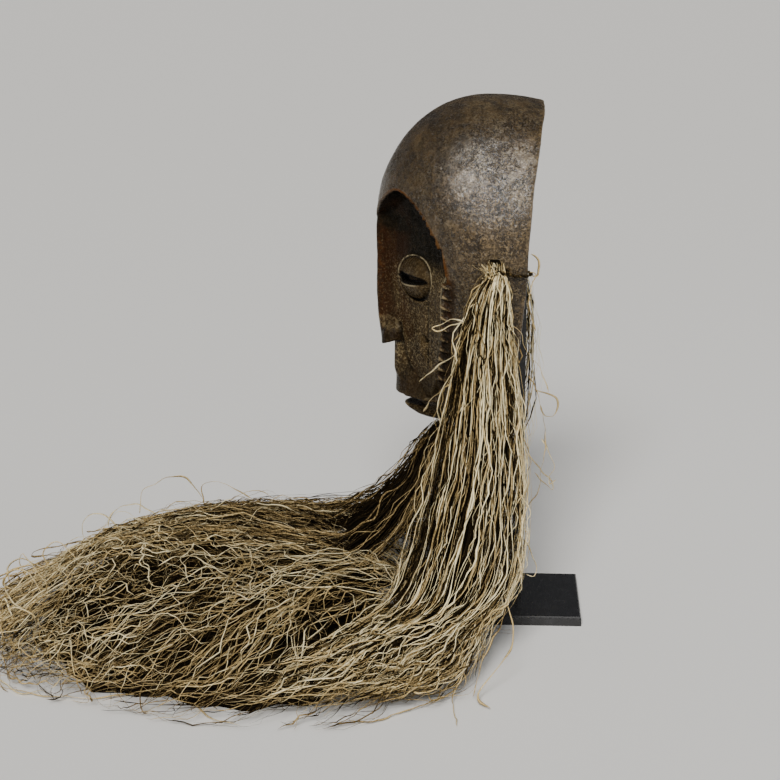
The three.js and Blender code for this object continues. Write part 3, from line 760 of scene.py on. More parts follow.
def add_eyes(f, colour):
    """The lids with their worn pale ring, kept to its top as a painted highlight, a painted shadow under
    them, a painted highlight on the lower lid and the slit's walls painted black as shade; and where ring
    and slit are.
    """
    eye, slit, slit_up = (f.mark(name) for name in ("eye", "slit", "slit_up"))
    colour = f.tint(colour, WOOD_BROWN, f.spread(eye, 0.0, -1.5), f.spread(f.fleck, 0.35, 0.65, 0.25, 0.75))
    # The pale ring is worn, and is kept to the ring's top where light falls: partly a painted highlight.
    ring = f.times(f.spread(f.off(eye, 0.0), 0.9, 0.3), f.spread(f.z, *EYE_RING_HIGHLIGHT_FADE, 0.05, 1.0))
    colour = f.tint(colour, WOOD_PALE, ring, f.spread(f.fleck, 0.42, 0.54, 0.12, 0.95))
    # A black crescent under the lower lid: a painted shadow.
    lid_shadow = f.times(f.spread(f.off(eye, -2.6), 1.9, 0.9), f.spread(f.z, *LOW_LID_SHADOW))
    colour = f.tint(colour, WOOD_BLACK, lid_shadow, f.spread(f.side, 56.0, 46.0, 0.2, 1.0), 0.97)
    # A pale line on the lower lid's edge below the slit: a painted highlight.
    lid_highlight = f.times(f.spread(f.off(slit, LID_HIGHLIGHT_OFF_SLIT), 0.8, 0.25), f.spread(slit_up, -1.5, -3.0))
    within = f.spread(eye, -1.0, -3.0), f.spread(f.side, 52.0, 46.0)
    colour = f.tint(colour, WOOD_PALE, lid_highlight, *within, 0.9)
    # The slit's walls are painted black: painted shade.
    in_slit = f.times(f.spread(slit, 2.3, 1.7), f.spread(slit_up, 0.5, -0.5))
    in_slit = f.most(in_slit, f.spread(slit, 1.1, 0.7))
    return f.tint(colour, WOOD_BLACK, in_slit), ring, in_slit


def add_nose(f, colour):
    """The nose: dark red, with orange on its ridge, partly the wood's own and partly painted glints, and a
    painted highlight band over painted shade on its wings.
    """
    nose = f.mix(f.spread(f.grain, 0.35, 0.7, 0.0, 0.4), WOOD_DARK, WOOD_BROWN)
    nose = f.tint(nose, WOOD_RED, f.spread(f.patch, 0.42, 0.6, 0.15, 0.8))
    # Orange flecks on the ridge: partly the wood's colour, partly painted glints.
    on_ridge = f.spread(f.y, -106.0, -114.0, 0.08, 0.45)
    nose = f.tint(nose, WOOD_ORANGE, f.spread(f.fleck, 0.48, 0.62), on_ridge)
    nose = f.tint(nose, WOOD_PATINA, f.spread(f.speck, 0.57, 0.64), 0.3)
    # A pale band on the wings' tops is a painted highlight; the dark band under it is painted shade.
    band = f.spread(f.off(f.z, NOSE_HIGHLIGHT_Z), 7.0, 2.0)
    nose = f.tint(nose, WOOD_PATINA, band, f.spread(f.fleck, 0.45, 0.56, 0.1, 0.9), 0.65)
    nose = f.tint(nose, WOOD_DARK, f.spread(f.off(f.z, NOSE_SHADE_Z), 9.0, 4.0, 0.0, 0.5))
    return f.tint(colour, nose, f.spread(f.mark("nose"), 1.6, 0.4), f.spread(f.z, *NOSE_TOP, 0.15, 0.95))


def add_lines(f, colour):
    """The orange line round the brow and the pale one on the cheek's crest; and where the first is."""
    brow = f.times(f.spread(f.off(f.mark("edge"), 0.7), 2.1, 0.7), f.spread(f.mark("depth"), 1.2, 0.8))
    brow = f.times(brow, f.spread(f.z, *BROW_LINE_FADE), f.spread(f.side, 20.0, 50.0, 0.25, 1.0))
    colour = f.tint(colour, WOOD_ORANGE, brow, f.spread(f.blotch, 0.35, 0.6, 0.3, 0.66))
    crest = f.times(f.spread(f.off(f.mark("edge"), -CREST_INSET), 0.8, 0.35), f.mark("face"))
    crest = f.times(crest, f.spread(f.z, *CREST_TOP), f.spread(f.z, *CREST_FADE, 0.15, 0.95))
    return f.tint(colour, WOOD_PALE, crest, f.spread(f.fleck, 0.36, 0.56, 0.2, 1.0)), brow


def add_wear(f, colour, brow, ring, in_slit):
    """Darker in the hollows, rubbed edges, and the raised teeth made pale as a painted highlight, but not
    where a line or the slit is.
    """
    colour = f.tint(colour, WOOD_BLACK, f.mark("cavity"), 0.85)
    kept = f.most(f.most(brow, ring), f.spread(f.mark("edge"), 7.0, 3.0, 0.0, 0.8))
    worn = f.times(f.mark("edge_wear"), f.spread(f.speck, 0.42, 0.56, 0.2, 0.9), f.less(1.0, kept))
    off_nose = f.spread(f.mark("nose"), 0.5, 2.0, 0.2, 1.0)
    colour = f.tint(colour, WOOD_OCHRE, worn, off_nose, f.less(1.0, in_slit))
    # The teeth's raised parts are made pale: a painted highlight.
    tooth_highlight = f.spread(f.mark("tooth"), 0.45, 0.75), f.spread(f.fleck, 0.42, 0.54, 0.25, 0.9)
    return f.tint(colour, WOOD_PATINA, *tooth_highlight)


def wood_bumps(f):
    """Cracks, specks and flecks over the broader bumps of the grain."""
    fine = f.plus(f.times(f.whole, 0.7), f.plus(f.times(f.speck, 0.5), f.fleck))
    return f.bump(f.plus(f.grain, f.blotch), 0.0018, 0.5, f.bump(fine, 0.0009, 0.75))


def wood_gloss(f, dull):
    """Roughness and gloss: glossiest where hands have polished the head, and dullest in the face."""
    polished = f.spot(POLISHED_AT, POLISHED_HALF)
    rough = f.spread(f.plus(f.speck, f.times(f.blotch, 0.6)), 0.55, 1.05, 0.19, 0.37)
    rough = f.times(rough, f.spread(polished, 0.0, 1.0, 1.0, 0.80))
    gloss = f.times(f.spread(polished, 0.0, 1.0, 0.42, 1.0), f.spread(f.fleck, 0.4, 0.56, 0.6, 1.0))
    for place, least in ((f.in_face, 0.13), (f.mark("jaw"), 0.3), (dull, 0.1)):
        gloss = f.times(gloss, f.spread(place, 0.0, 1.0, 1.0, least))
    return rough, gloss


def wood_finish():
    f = Wood("carved_wood")
    colour = add_face(f, add_damage(f, head_colour(f)))
    colour, low = add_lower_lip(f, colour)
    colour, ring, in_slit = add_eyes(f, colour)
    colour, brow = add_lines(f, add_nose(f, colour))
    colour = add_wear(f, colour, brow, ring, in_slit)
    raw = f.mix(f.spread(f.grain, 0.35, 0.65), WOOD_DARK, WOOD_RAW)
    colour = f.tint(colour, raw, f.mark("inside"))
    # The recessed face is darkened all over: painted shade.
    colour = f.mix(f.in_face, colour, WOOD_PAINTED_SHADE, "MULTIPLY")
    rough, gloss = wood_gloss(f, f.most(brow, low))
    bumps = wood_bumps(f)
    return f.set(Base_Color=colour, Roughness=rough, Normal=bumps, Specular_IOR_Level=gloss, IOR=1.6)


FIBRE_BLACK = shade(0.004, 0.003, 0.0015)
FIBRE_DARK = shade(0.012, 0.008, 0.0035)
FIBRE_BROWN = shade(0.15, 0.098, 0.036)
FIBRE_STRAW = shade(0.56, 0.41, 0.18)
FIBRE_PALE = shade(0.93, 0.81, 0.50)


def fibre_finish(name):
    f = Finish(name)
    tone = f.mark("tone")
    streak = f.noise(900.0, 3.0, 0.6, f.stretched((1.0, 1.0, 0.5)))
    level = f.plus(tone, f.spread(streak, 0.25, 0.75, -0.16, 0.16))
    colour = f.mix(f.spread(level, 0.12, 0.42), FIBRE_DARK, FIBRE_BROWN)
    colour = f.mix(f.spread(level, 0.3, 0.68), colour, FIBRE_STRAW)
    colour = f.mix(f.spread(level, 0.66, 1.0), colour, FIBRE_PALE)
    normal = f.bump(streak, 0.0003, 0.5)
    shine = f.spread(level, 0.15, 0.7, 0.04, 0.42)
    return f.set(Base_Color=colour, Roughness=0.5, Normal=normal, IOR=1.45, Specular_IOR_Level=shine)


# A near-black fibre texture for the forms inside the raffia: painted shade.
def shade_core_finish():
    f = Finish("raffia_shade_core")
    strands = f.noise(260.0, 6.0, 0.7, f.stretched((1.0, 0.35, 1.0)), 1.2)
    colour = f.mix(f.spread(strands, 0.42, 0.72), FIBRE_BLACK, FIBRE_DARK)
    normal = f.bump(strands, 0.003, 1.0)
    return f.set(Base_Color=colour, Roughness=0.9, Normal=normal, Specular_IOR_Level=0.03)


def steel_finish():
    f = Finish("stand_black")
    wear = f.noise(160.0, 5.0, 0.6)
    brushed = f.noise(700.0, 3.0, 0.6, f.stretched((0.12, 1.0, 1.0)))
    colour = f.mix(f.spread(wear, 0.45, 0.8), shade(0.008, 0.008, 0.009), shade(0.022, 0.022, 0.024))
    rough = f.spread(brushed, 0.3, 0.7, 0.24, 0.38)
    return f.set(Base_Color=colour, Roughness=rough, Normal=f.bump(wear, 0.0002, 0.3), IOR=1.6)


# The raffia.

# The heap's plan as (x, y), and how high its top is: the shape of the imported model's heap.
HEAP_PLAN = [(90, 6), (154, -10), (212, -44), (245, -122), (250, -205), (196, -372), (120, -414)]
HEAP_PLAN += [(20, -424), (-56, -370), (-130, -270), (-146, -120), (-96, 4), (-64, -52), (0, -64)]
HEAP_PLAN += [(64, -52), (90, 6)]
HEAP_MIDDLE = np.array([30.0, -240.0])
HEAP_HIGH = 80.0
HEAP_LIP = 5.0
HEAP_SHOULDER = 0.85
HEAP_LUMPS = 0.03
EDGE_START = 0.8
# The share of strands coloured dark and kept inside: painted shade in the gaps.
SHADE_DARK_SHARE = 0.43

# The tufts' stations: middle (x, y, z), half the thickness and half the width.
LEFT_TUFT = [
    (92, -23, 303, 4, 7), (91, -21, 295, 3.2, 6), (92.5, -22.5, 288, 4.5, 9), (95, -27, 272, 8, 16),
    (99, -29, 241, 12, 21.5), (103, -31, 200, 17, 29), (107, -33, 161, 21, 35), (113, -37, 124, 26, 40),
    (124, -44, 82, 32, 45), (134, -54, 52, 34, 46),
]
RIGHT_TUFT = [
    (-92, -21, 303, 4, 7), (-91, -19, 295, 3.2, 6), (-93, -18, 286, 5.5, 9), (-95, -15, 272, 8, 14),
    (-99, -12, 241, 12, 23), (-102, -14, 200, 16, 29), (-105, -20, 155, 19, 35), (-107, -31, 115, 22, 42),
    (-111, -50, 78, 24, 46),
]
CHIN_TUFT = [(0, -62, 150, 7, 26), (0, -70, 135, 12, 38), (0, -84, 107, 16, 50), (0, -104, 79, 21, 60),
             (0, -132, 56, 25, 70)]
ALONG_Y = np.array([0.0, 1.0, 0.0])
ALONG_X = np.array([1.0, 0.0, 0.0])

# How each tuft's raffia runs on over the heap, as (x, y): lanes from its outermost to its innermost.
LEFT_LANES = np.array([
    [(144, -6), (162, -8), (181, -11), (199, -15), (215, -21), (229, -29), (241, -38), (250, -48)],
    [(138, -40), (158, -46), (177, -53), (196, -61), (214, -71), (230, -83), (243, -97), (252, -114)],
    [(130, -72), (151, -81), (171, -91), (191, -103), (210, -117), (227, -133), (241, -152),
     (250, -174)],
    [(122, -96), (142, -109), (162, -123), (181, -139), (199, -157), (216, -178), (230, -203),
     (240, -232)],
], float)
RIGHT_LANES = np.array([
    [(-118, 0), (-124, -14), (-136, -50), (-144, -100), (-148, -170), (-140, -240), (-116, -310),
     (-84, -372)],
    [(-98, -92), (-84, -112), (-66, -145), (-48, -190), (-30, -245), (-18, -300), (-8, -350),
     (0, -398)],
], float)
CHIN_LANES = np.array([
    [(68, -140), (76, -160), (86, -195), (94, -235), (98, -280), (94, -325), (84, -366), (72, -400)],
    [(-68, -140), (-76, -160), (-84, -195), (-86, -235), (-80, -280), (-68, -325), (-54, -366),
     (-40, -400)],
], float)
LANE_HOLD = np.array([0.8, 0.48, 0.22, 0.08, 0.02, 0, 0])
DROP_HOLD = np.array([0.62, 0.3, 0.11, 0.03, 0, 0, 0])
FALL_POINTS = 19
PLATE_GAP = 1.5
TURNED_SHARE = 0.6
LOCK_SPREAD = 0.11
LOCK_LOOSER = 0.15
LOCK_STRAY = 13
STRAND_STRAY = 8
TUFT_WIDTH = 0.9
HEAP_WIDTH = 0.68
LEFT_END_SHARE = 0.16
LEFT_END_ANGLE = (-1.3, 0.4)

# Single strands that stand off the tufts and the heap, as (x, y, z).
STRAYS = [
    [(100, -44, 258), (93, -52, 259), (88, -63, 253), (85.5, -69, 250), (86, -66, 248),
     (90, -54, 253), (100, -44, 259)],
    [(99, -48, 236), (89, -59, 225), (79, -69, 216), (66, -79, 203)],
    [(100, -46, 217), (91, -57, 207), (76, -68, 194), (66, -73, 185), (58, -76, 177)],
    [(95, -13, 257), (97, -2, 249), (97, -1, 240), (96, 5, 231), (95, 12, 223), (95, 16, 211),
     (95, 18, 204)],
    [(-70, 12, 162), (-62, 24, 161), (-60, 30, 158), (-60, 32, 150), (-60, 28, 143),
     (-60, 21, 143), (-60, 17, 152)],
    [(70, 4, 210), (62, 10, 198), (62, 17, 169), (66, 18, 155), (70, 15, 136), (74, 13, 121),
     (84, 3, 107)],
    [(62, 15, 158), (60, 20, 150), (60, 25, 134), (60, 22, 128), (60, 22, 121), (60, 27, 125)],
    [(-90, 8, 101), (-90, 20, 86), (-90, 30, 75), (-90, 30, 69), (-90, 24, 74), (-90, 14, 84)],
    [(108, 0, 92), (100, 5, 86), (100, 12, 65), (100, 10, 60), (100, 4, 62)],
    [(79, 4, 290), (78, 8, 289), (76, 10, 294), (76, 10, 300), (78, 7, 304), (80, 4, 306)],
    [(80, 3, 292), (79, 7, 290), (79, 5, 283), (81, 3, 274), (82, 4, 262), (84, 8, 248)],
    [(-40, -318, 58), (-40, -315, 77), (-40, -300, 87), (-40, -285, 92), (-40, -278, 90),
     (-40, -264, 72)],
    [(-40, -264, 68), (-40, -264, 84), (-40, -254, 87), (-40, -244, 85), (-40, -222, 72)],
    [(60, -388, 18), (60, -400, 24), (60, -410, 30), (60, -406, 40), (60, -397, 43), (60, -383, 34)],
    [(190, -386, 2), (205, -356, 2), (211, -310, 2), (198, -263, 2), (213, -238, 2),
     (240, -219, 2), (252, -197, 2)],
    [(128, -4, 90), (138, -14, 65), (148, -8, 50), (165, -6, 34), (178, -11, 26), (190, -23, 16),
     (203, -31, 5), (215, -22, 2)],
    [(150, -30, 56), (165, -35, 40), (180, -40, 24), (192, -44, 14), (203, -49, 5), (222, -48, 2),
     (245, -45, 2)],
    [(150, -24, 56), (168, -32, 35), (184, -43, 20), (196, -48, 8), (210, -65, 4), (224, -86, 2),
     (241, -106, 2), (239, -124, 2)],
    [(180, -62, 34), (190, -70, 24), (200, -67, 14), (208, -65, 5), (208, -60, 6), (200, -59, 12),
     (190, -69, 22)],
    [(140, -11, 58), (150, -13, 46), (168, -21, 35), (180, -28, 25), (190, -31, 16), (200, -35, 4)],
    [(110, -360, 22), (110, -377, 27), (110, -390, 35), (110, -396, 47), (110, -393, 59),
     (110, -382, 62), (110, -372, 52), (110, -366, 36)],
    [(140, -348, 8), (140, -379, 16), (140, -391, 19), (140, -392, 31), (140, -382, 42),
     (140, -370, 39), (140, -356, 22)],
    [(150, -350, 10), (150, -376, 12), (158, -388, 8), (170, -390, 4), (190, -378, 2),
     (205, -361, 2), (199, -345, 2)],
    [(90, -366, 40), (90, -381, 61), (90, -386, 68), (90, -389, 60), (90, -381, 46)],
    [(60, -346, 46), (60, -362, 65), (60, -370, 66), (60, -377, 58), (60, -372, 42)],
    [(0, -322, 50), (0, -340, 70), (0, -350, 70), (0, -358, 62), (0, -357, 48), (0, -348, 40)],
    [(-20, -296, 62), (-20, -319, 73), (-20, -333, 68), (-20, -341, 57), (-20, -334, 42)],
]

heap_line = curve_through(HEAP_PLAN, 160) - HEAP_MIDDLE
heap_angles = np.arctan2(heap_line[:, 1], heap_line[:, 0])
heap_reach = np.hypot(heap_line[:, 0], heap_line[:, 1])
heap_order = np.argsort(heap_angles)


def fan_share(a, b):
    """How far across a side tuft's fan of lanes a strand is, from its place in the tuft."""
    return 0.5 + 0.34 * a + 0.38 * b


def flat_share(a, b):
    """How far across the chin tuft's lanes a strand is: only its place along the width counts."""
    return 0.5 + 0.46 * b


# Each tuft's object and node, its stations, its width's direction and outer side, its lanes, how its
# strands share them and are biased over them, how pale it is, and how many strands and steps it has.
LEFT = (LEFT_TUFT, ALONG_Y, -1, LEFT_LANES, fan_share, 1.0, 1.0, 330, 74)
TUFTS = [
    ("raffia_left_front", "beard_left", *LEFT),
    ("raffia_left_back", "beard_left", *LEFT),
    ("raffia_right", "beard_right", RIGHT_TUFT, ALONG_Y, 1, RIGHT_LANES, fan_share, 0.6, 1.4, 232, 46),
    ("raffia_chin", "beard_chin", CHIN_TUFT, ALONG_X, 0, CHIN_LANES, flat_share, 1, 0.54, 280, 42),
]


# The near-black forms in the tufts, painted shade in the gaps between the strands, and their sizes as shares
# of the tufts'.
TUFT_SHADE_CORES = [
    ("raffia_left_shade_core", LEFT_TUFT, ALONG_Y, 0.55),
    ("raffia_right_shade_core", RIGHT_TUFT, ALONG_Y, 0.4),
    ("raffia_chin_shade_core", CHIN_TUFT, ALONG_X, 0.5),
]


def edge_reach(angle):
    return np.interp(angle, heap_angles[heap_order], heap_reach[heap_order], period=2 * math.pi)


def heap_share(x, y):
    """How far out (x, y) is on the heap: 0 in its middle and 1 at its edge."""
    dx, dy = x - HEAP_MIDDLE[0], y - HEAP_MIDDLE[1]
    return np.hypot(dx, dy) / edge_reach(np.arctan2(dy, dx))


def heap_top(x, y):
    share = np.clip(heap_share(x, y), 0, 1)
    lump = relief(x, y, 0, np.random.default_rng(SEED + 3), 6, (70, 150))
    high = HEAP_LIP + (HEAP_HIGH - HEAP_LIP) * (1 - share ** 2) ** HEAP_SHOULDER
    return high * (1 + HEAP_LUMPS * lump) * (1 - 0.22 * ramp(-y, 330, 430))


def held_in(x, y, limit):
    """Points pulled back smoothly where they would go further out on the heap than the limit."""
    share = np.maximum(heap_share(x, y), 1e-6)
    soft = EDGE_START + (limit - EDGE_START) * np.tanh((share - EDGE_START) / (limit - EDGE_START))
    pull = np.where(share > EDGE_START, soft / share, 1)
    return HEAP_MIDDLE[0] + (x - HEAP_MIDDLE[0]) * pull, HEAP_MIDDLE[1] + (y - HEAP_MIDDLE[1]) * pull


def unit(vectors):
    return vectors / np.maximum(np.linalg.norm(vectors, axis=-1, keepdims=True), 1e-9)


def gone_along(paths):
    """The length from each path's start to each of its points."""
    steps = np.linalg.norm(np.diff(paths, axis=1), axis=2)
    return np.concatenate([np.zeros((len(paths), 1)), np.cumsum(steps, 1)], 1)


def waves(rng, along, shortest, longest, parts=3, kink=0.93):
    """Random waves along strands, about one high. The nearer the kink is to 1, the sharper their crests."""
    strands = len(along)
    total = 0
    for _ in range(parts):
        pitch = rng.uniform(shortest, longest, (strands, 1))
        phase = 2 * math.pi * along / pitch + rng.uniform(0, 6.3, (strands, 1))
        total = total + np.arcsin(kink * np.sin(phase)) / math.asin(kink)
    return total / math.sqrt(parts)


def swayed(paths, rng, *kinds):
    """Paths with waves across them. A kind is the waves' size and their shortest and longest length."""
    gone = gone_along(paths)
    run = unit(np.gradient(paths, axis=1))
    across = unit(np.cross(run, (1.0, 0.13, 0.0)))
    over = np.cross(run, across)
    moved = paths.copy()
    for size, shortest, longest in kinds:
        moved += across * (waves(rng, gone, shortest, longest) * size)[..., None]
        moved += over * (waves(rng, gone, shortest, longest) * size)[..., None]
    return moved


def flow(points, middle, shares):
    """Smooth paths along rows of control points, at each step's share of the way, half at the middle one."""
    count = points.shape[1]
    ends = 2 * points[:, :1] - points[:, 1:2], 2 * points[:, -1:] - points[:, -2:-1]
    points = np.concatenate([ends[0], points, ends[1]], 1)
    at = np.clip(np.interp(shares, (0, 0.5, 1), (0, middle, count - 1)), 0, count - 1.001)
    first = at.astype(int)
    f = (at - first)[..., None]
    row = np.arange(len(points))[:, None]
    weights = (1 - f) ** 3, 3 * f ** 3 - 6 * f ** 2 + 4, -3 * f ** 3 + 3 * f ** 2 + 3 * f + 1, f ** 3
    return sum(weight * points[row, first + k] for k, weight in enumerate(weights)) / 6


def fibres(name, paths, width, tone, rng, twist=(0.01, 0.09), flat=0.36):
    """One mesh of thin three-sided fibres along paths: strands by steps by xyz, in millimetres."""
    strands, steps, _ = paths.shape
    run = unit(np.gradient(paths, axis=1))
    side = unit(np.cross(run[:, 0], rng.normal(size=(strands, 3))))
    sides = np.empty_like(paths)
    for i in range(steps):
        side = unit(side - run[:, i] * (side * run[:, i]).sum(1, keepdims=True))
        sides[:, i] = side
    ups = np.cross(run, sides)
    gone = gone_along(paths)
    turning = rng.uniform(*twist, (strands, 1)) * rng.choice([-1, 1], (strands, 1))
    angle = rng.uniform(0, 6.3, (strands, 1)) + gone * turning + 0.5 * waves(rng, gone, 30, 80)
    share = gone / gone[:, -1:]
    taper = np.clip(np.minimum(share / 0.02 + 0.3, (1 - share) / 0.06 + 0.12), 0, 1)
    size = width[:, None] * taper * (1 + 0.25 * waves(rng, gone, 25, 70))
    size = np.maximum(size, 0.1)[..., None]
    corners = []
    for k in range(3):
        turn = math.pi / 2 + 2 * math.pi * k / 3
        across, thick = math.cos(turn), math.sin(turn) * flat
        c, s = np.cos(angle)[..., None], np.sin(angle)[..., None]
        offset = sides * (across * c - thick * s) + ups * (across * s + thick * c)
        corners.append(paths + offset * size * 0.6)
    points = np.stack(corners, 2).reshape(-1, 3)
    points[:, 2] = np.maximum(points[:, 2], 0.15)
    first = (np.arange(strands)[:, None] * steps + np.arange(steps - 1)[None]) * 3
    quads = []
    for k in range(3):
        n = (k + 1) % 3
        quads.append(np.stack([first + k, first + n, first + 3 + n, first + 3 + k], -1).reshape(-1, 4))
    head = np.arange(strands) * steps * 3
    tail = head + (steps - 1) * 3
    caps = [np.stack([head + 2, head + 1, head], 1), np.stack([tail, tail + 1, tail + 2], 1)]
    tones = np.repeat((tone + 0.07 * waves(rng, gone, 30, 90)).ravel(), 3)
    return mesh_object(name, points, np.concatenate(quads), np.concatenate(caps), marks={"tone": tones})


def widths(rng, strands):
    """Mostly fine strands, with a few broad ones."""
    return rng.gamma(3.0, 0.27, strands).clip(0.36, 1.6)


def tones(rng, shade_dark, unshaded, paths):
    """How pale each strand is, with shade painted in: darker inside the raffia, low down by the floor and at
    the far side, and dark for the strands painted as shade.
    """
    dull, bright = rng.uniform(0.0, 0.2, shade_dark.shape), rng.beta(1.05, 0.95, shade_dark.shape)
    tone = np.where(shade_dark, dull, 0.41 + 0.76 * bright)
    x, z = paths[..., 0], paths[..., 2]
    # Darker at the far side and low down near the floor: painted shade.
    aside = 1 - 0.45 * ramp(-x, -10, 80) * (z < 95)
    return tone * (0.02 + 0.98 * unshaded) * aside * (0.62 + 0.38 * ramp(z, 4, 36))


def keep_off_plate(paths):
    """Strands go round the stand's plate: each point in it moves to its front or to its nearer side."""
    low, high = (np.array(c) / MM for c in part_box("stand_plate"))
    low, high = low - PLATE_GAP, high + PLATE_GAP
    x, y, z = paths[..., 0], paths[..., 1], paths[..., 2]
    over = (x < high[0]) & (x > low[0]) & (y < high[1]) & (y > low[1]) & (z < high[2])
    front, near_side, far_side = y - low[1], high[0] - x, x - low[0]
    to_front = over & (front <= near_side) & (front <= far_side)
    aside = np.where(near_side < far_side, high[0], low[0])
    paths[..., 0] = np.where(over & ~to_front, aside, x)
    paths[..., 1] = np.where(to_front, low[1], y)
    return paths


def lane_at(lanes, share):
    """The lane for each share of the way across a fan of lanes; the first lane has the share 1."""
    at = (1 - share) * (len(lanes) - 1)
    first = np.minimum(at.astype(int), len(lanes) - 2)
    part = (at - first)[:, None, None]
    return lanes[first] * (1 - part) + lanes[first + 1] * part


def places_in_tuft(rng, lock, locks, shade_dark, outer, length):
    """Where each strand is across its tuft at each step of its fall, as shares of the tuft's two halves.

    Strands keep to their locks, more loosely further down. Most locks lie on the tuft's outer side: outer
    is that side's sign, or 0 for a flat tuft, whose locks gather at its two ends.
    """
    down = np.linspace(0, 1, FALL_POINTS)[None]
    angle = 2 * math.pi * (rng.permutation(locks) + rng.uniform(size=locks)) / locks
    turned = (np.cos(angle) * outer < 0) & (rng.uniform(size=locks) < TURNED_SHARE)
    angle = np.where(turned, math.pi - angle, angle + 0.3 * np.sin(2 * angle) * (outer == 0))
    out = np.sqrt(rng.uniform(0.1, 1.0, locks))
    drift = waves(rng, np.broadcast_to(down * length, (locks, FALL_POINTS)), 120, 260)[lock] * down
    spread = LOCK_SPREAD + LOCK_LOOSER * down
    a = (out * np.cos(angle))[lock][:, None] + rng.normal(size=(len(lock), 1)) * spread
    b = (out * np.sin(angle))[lock][:, None] + rng.normal(size=(len(lock), 1)) * spread + 0.1 * drift
    far = np.hypot(a, b)
    pull = np.where(far > 1, np.maximum(far, 1) ** -0.75, 1) * np.where(shade_dark, 0.93, 1)
    return a * pull, b * pull


def run_over_heap(rng, lock, locks, lanes, share, end):
    """Where each strand goes on over the heap along its lane, from where its fall ended, as (x, y)."""
    lane = lane_at(lanes, share)
    rest = lane[:, 1:] + (end - lane[:, :1]) * LANE_HOLD[None, :, None]
    stray = np.linspace(0.15, 1, len(LANE_HOLD))[None, :, None]
    rest = rest + rng.normal(size=(locks, len(LANE_HOLD), 2))[lock] * LOCK_STRAY * stray
    return rest + rng.normal(size=(len(lock), len(LANE_HOLD), 2)) * STRAND_STRAY * stray


def tuft(name, stations, sideways, outer, lanes, lane_of, bias, pale, strands, steps, rng):
    """Strands in locks that fall through a tuft's stations, then run on along the lanes over the heap."""
    locks = strands // 4
    lock = rng.integers(locks, size=strands)
    line = curve_through(stations, FALL_POINTS)
    length = np.linalg.norm(np.diff(line[:, :3], axis=0), axis=1).sum()
    shade_dark = rng.uniform(size=(strands, 1)) < SHADE_DARK_SHARE
    a, b = places_in_tuft(rng, lock, locks, shade_dark, outer, length)
    outs = unit(np.cross(sideways, unit(np.gradient(line[:, :3], axis=0))))
    fall = line[:, :3] + (a * line[:, 3])[..., None] * outs + (b * line[:, 4])[..., None] * sideways
    end = fall[:, -1]
    share = np.clip(lane_of(a[:, -1], b[:, -1]) + rng.normal(size=strands) * 0.06, 0, 1) ** bias
    rest = run_over_heap(rng, lock, locks, lanes, share, end[:, None, :2])
    layer = np.clip(1.02 - rng.gamma(1.2, 0.12, strands), 0.2, 1.0)[:, None]
    above = (end[:, 2] - heap_top(end[:, 0], end[:, 1]) * layer[:, 0])[:, None] * DROP_HOLD
    # Each control point is x, y, height, how far it lies on the heap, and how far it is out of the painted
    # shade.
    unshaded_fall = ramp(np.hypot(a, b), 0.68, 1.0)[..., None]
    unshaded_heap = ramp(layer, 0.6, 1.0)[..., None] + np.zeros_like(above[..., None])
    on_fall = np.concatenate([fall, np.zeros_like(unshaded_fall), unshaded_fall], -1)
    on_heap = np.concatenate([rest, above[..., None], np.ones_like(unshaded_heap), unshaded_heap], -1)
    begin = rng.uniform(0, 0.05, (strands, 1))
    finish = rng.uniform(0.72, 1.0, (strands, 1))
    shares = np.interp(np.linspace(0, 1, steps), (0, 0.62, 1), (0, 0.5, 1))[None]
    on_the_way = begin + shares * (1 - 2 * begin)
    shares = np.where(shares < 0.5, on_the_way, 0.5 + (shares - 0.5) * (2 * finish - 1))
    made = flow(np.concatenate([on_fall, on_heap], 1), FALL_POINTS - 1, shares)
    x, y = held_in(made[..., 0], made[..., 1], rng.uniform(0.92, 1.04, (strands, 1)) - 0.05 * shade_dark)
    lies = made[..., 3]
    x, y = made[..., 0] + (x - made[..., 0]) * lies, made[..., 1] + (y - made[..., 1]) * lies
    paths = np.stack([x, y, made[..., 2] + lies * heap_top(x, y) * layer], -1)
    loose = ramp(shares, 0.0, 0.1)
    wobble = rng.gamma(1.8, 0.55, (strands, 1)).clip(0.2, 1.9) * np.where(shade_dark, 0.55, 1)
    wobble = wobble * loose
    paths = swayed(paths, rng, (wobble * (0.75 + 0.5 * lies), 14, 36), (wobble * 2.4, 36, 110))
    paths[..., 2] = np.maximum(paths[..., 2], rng.uniform(0.6, 3.0, (strands, 1)))
    unshaded = np.clip(made[..., 4], 0, 1)
    width = widths(rng, strands) * TUFT_WIDTH
    return fibres(name, keep_off_plate(paths), width, tones(rng, shade_dark, unshaded, paths) * pale, rng)


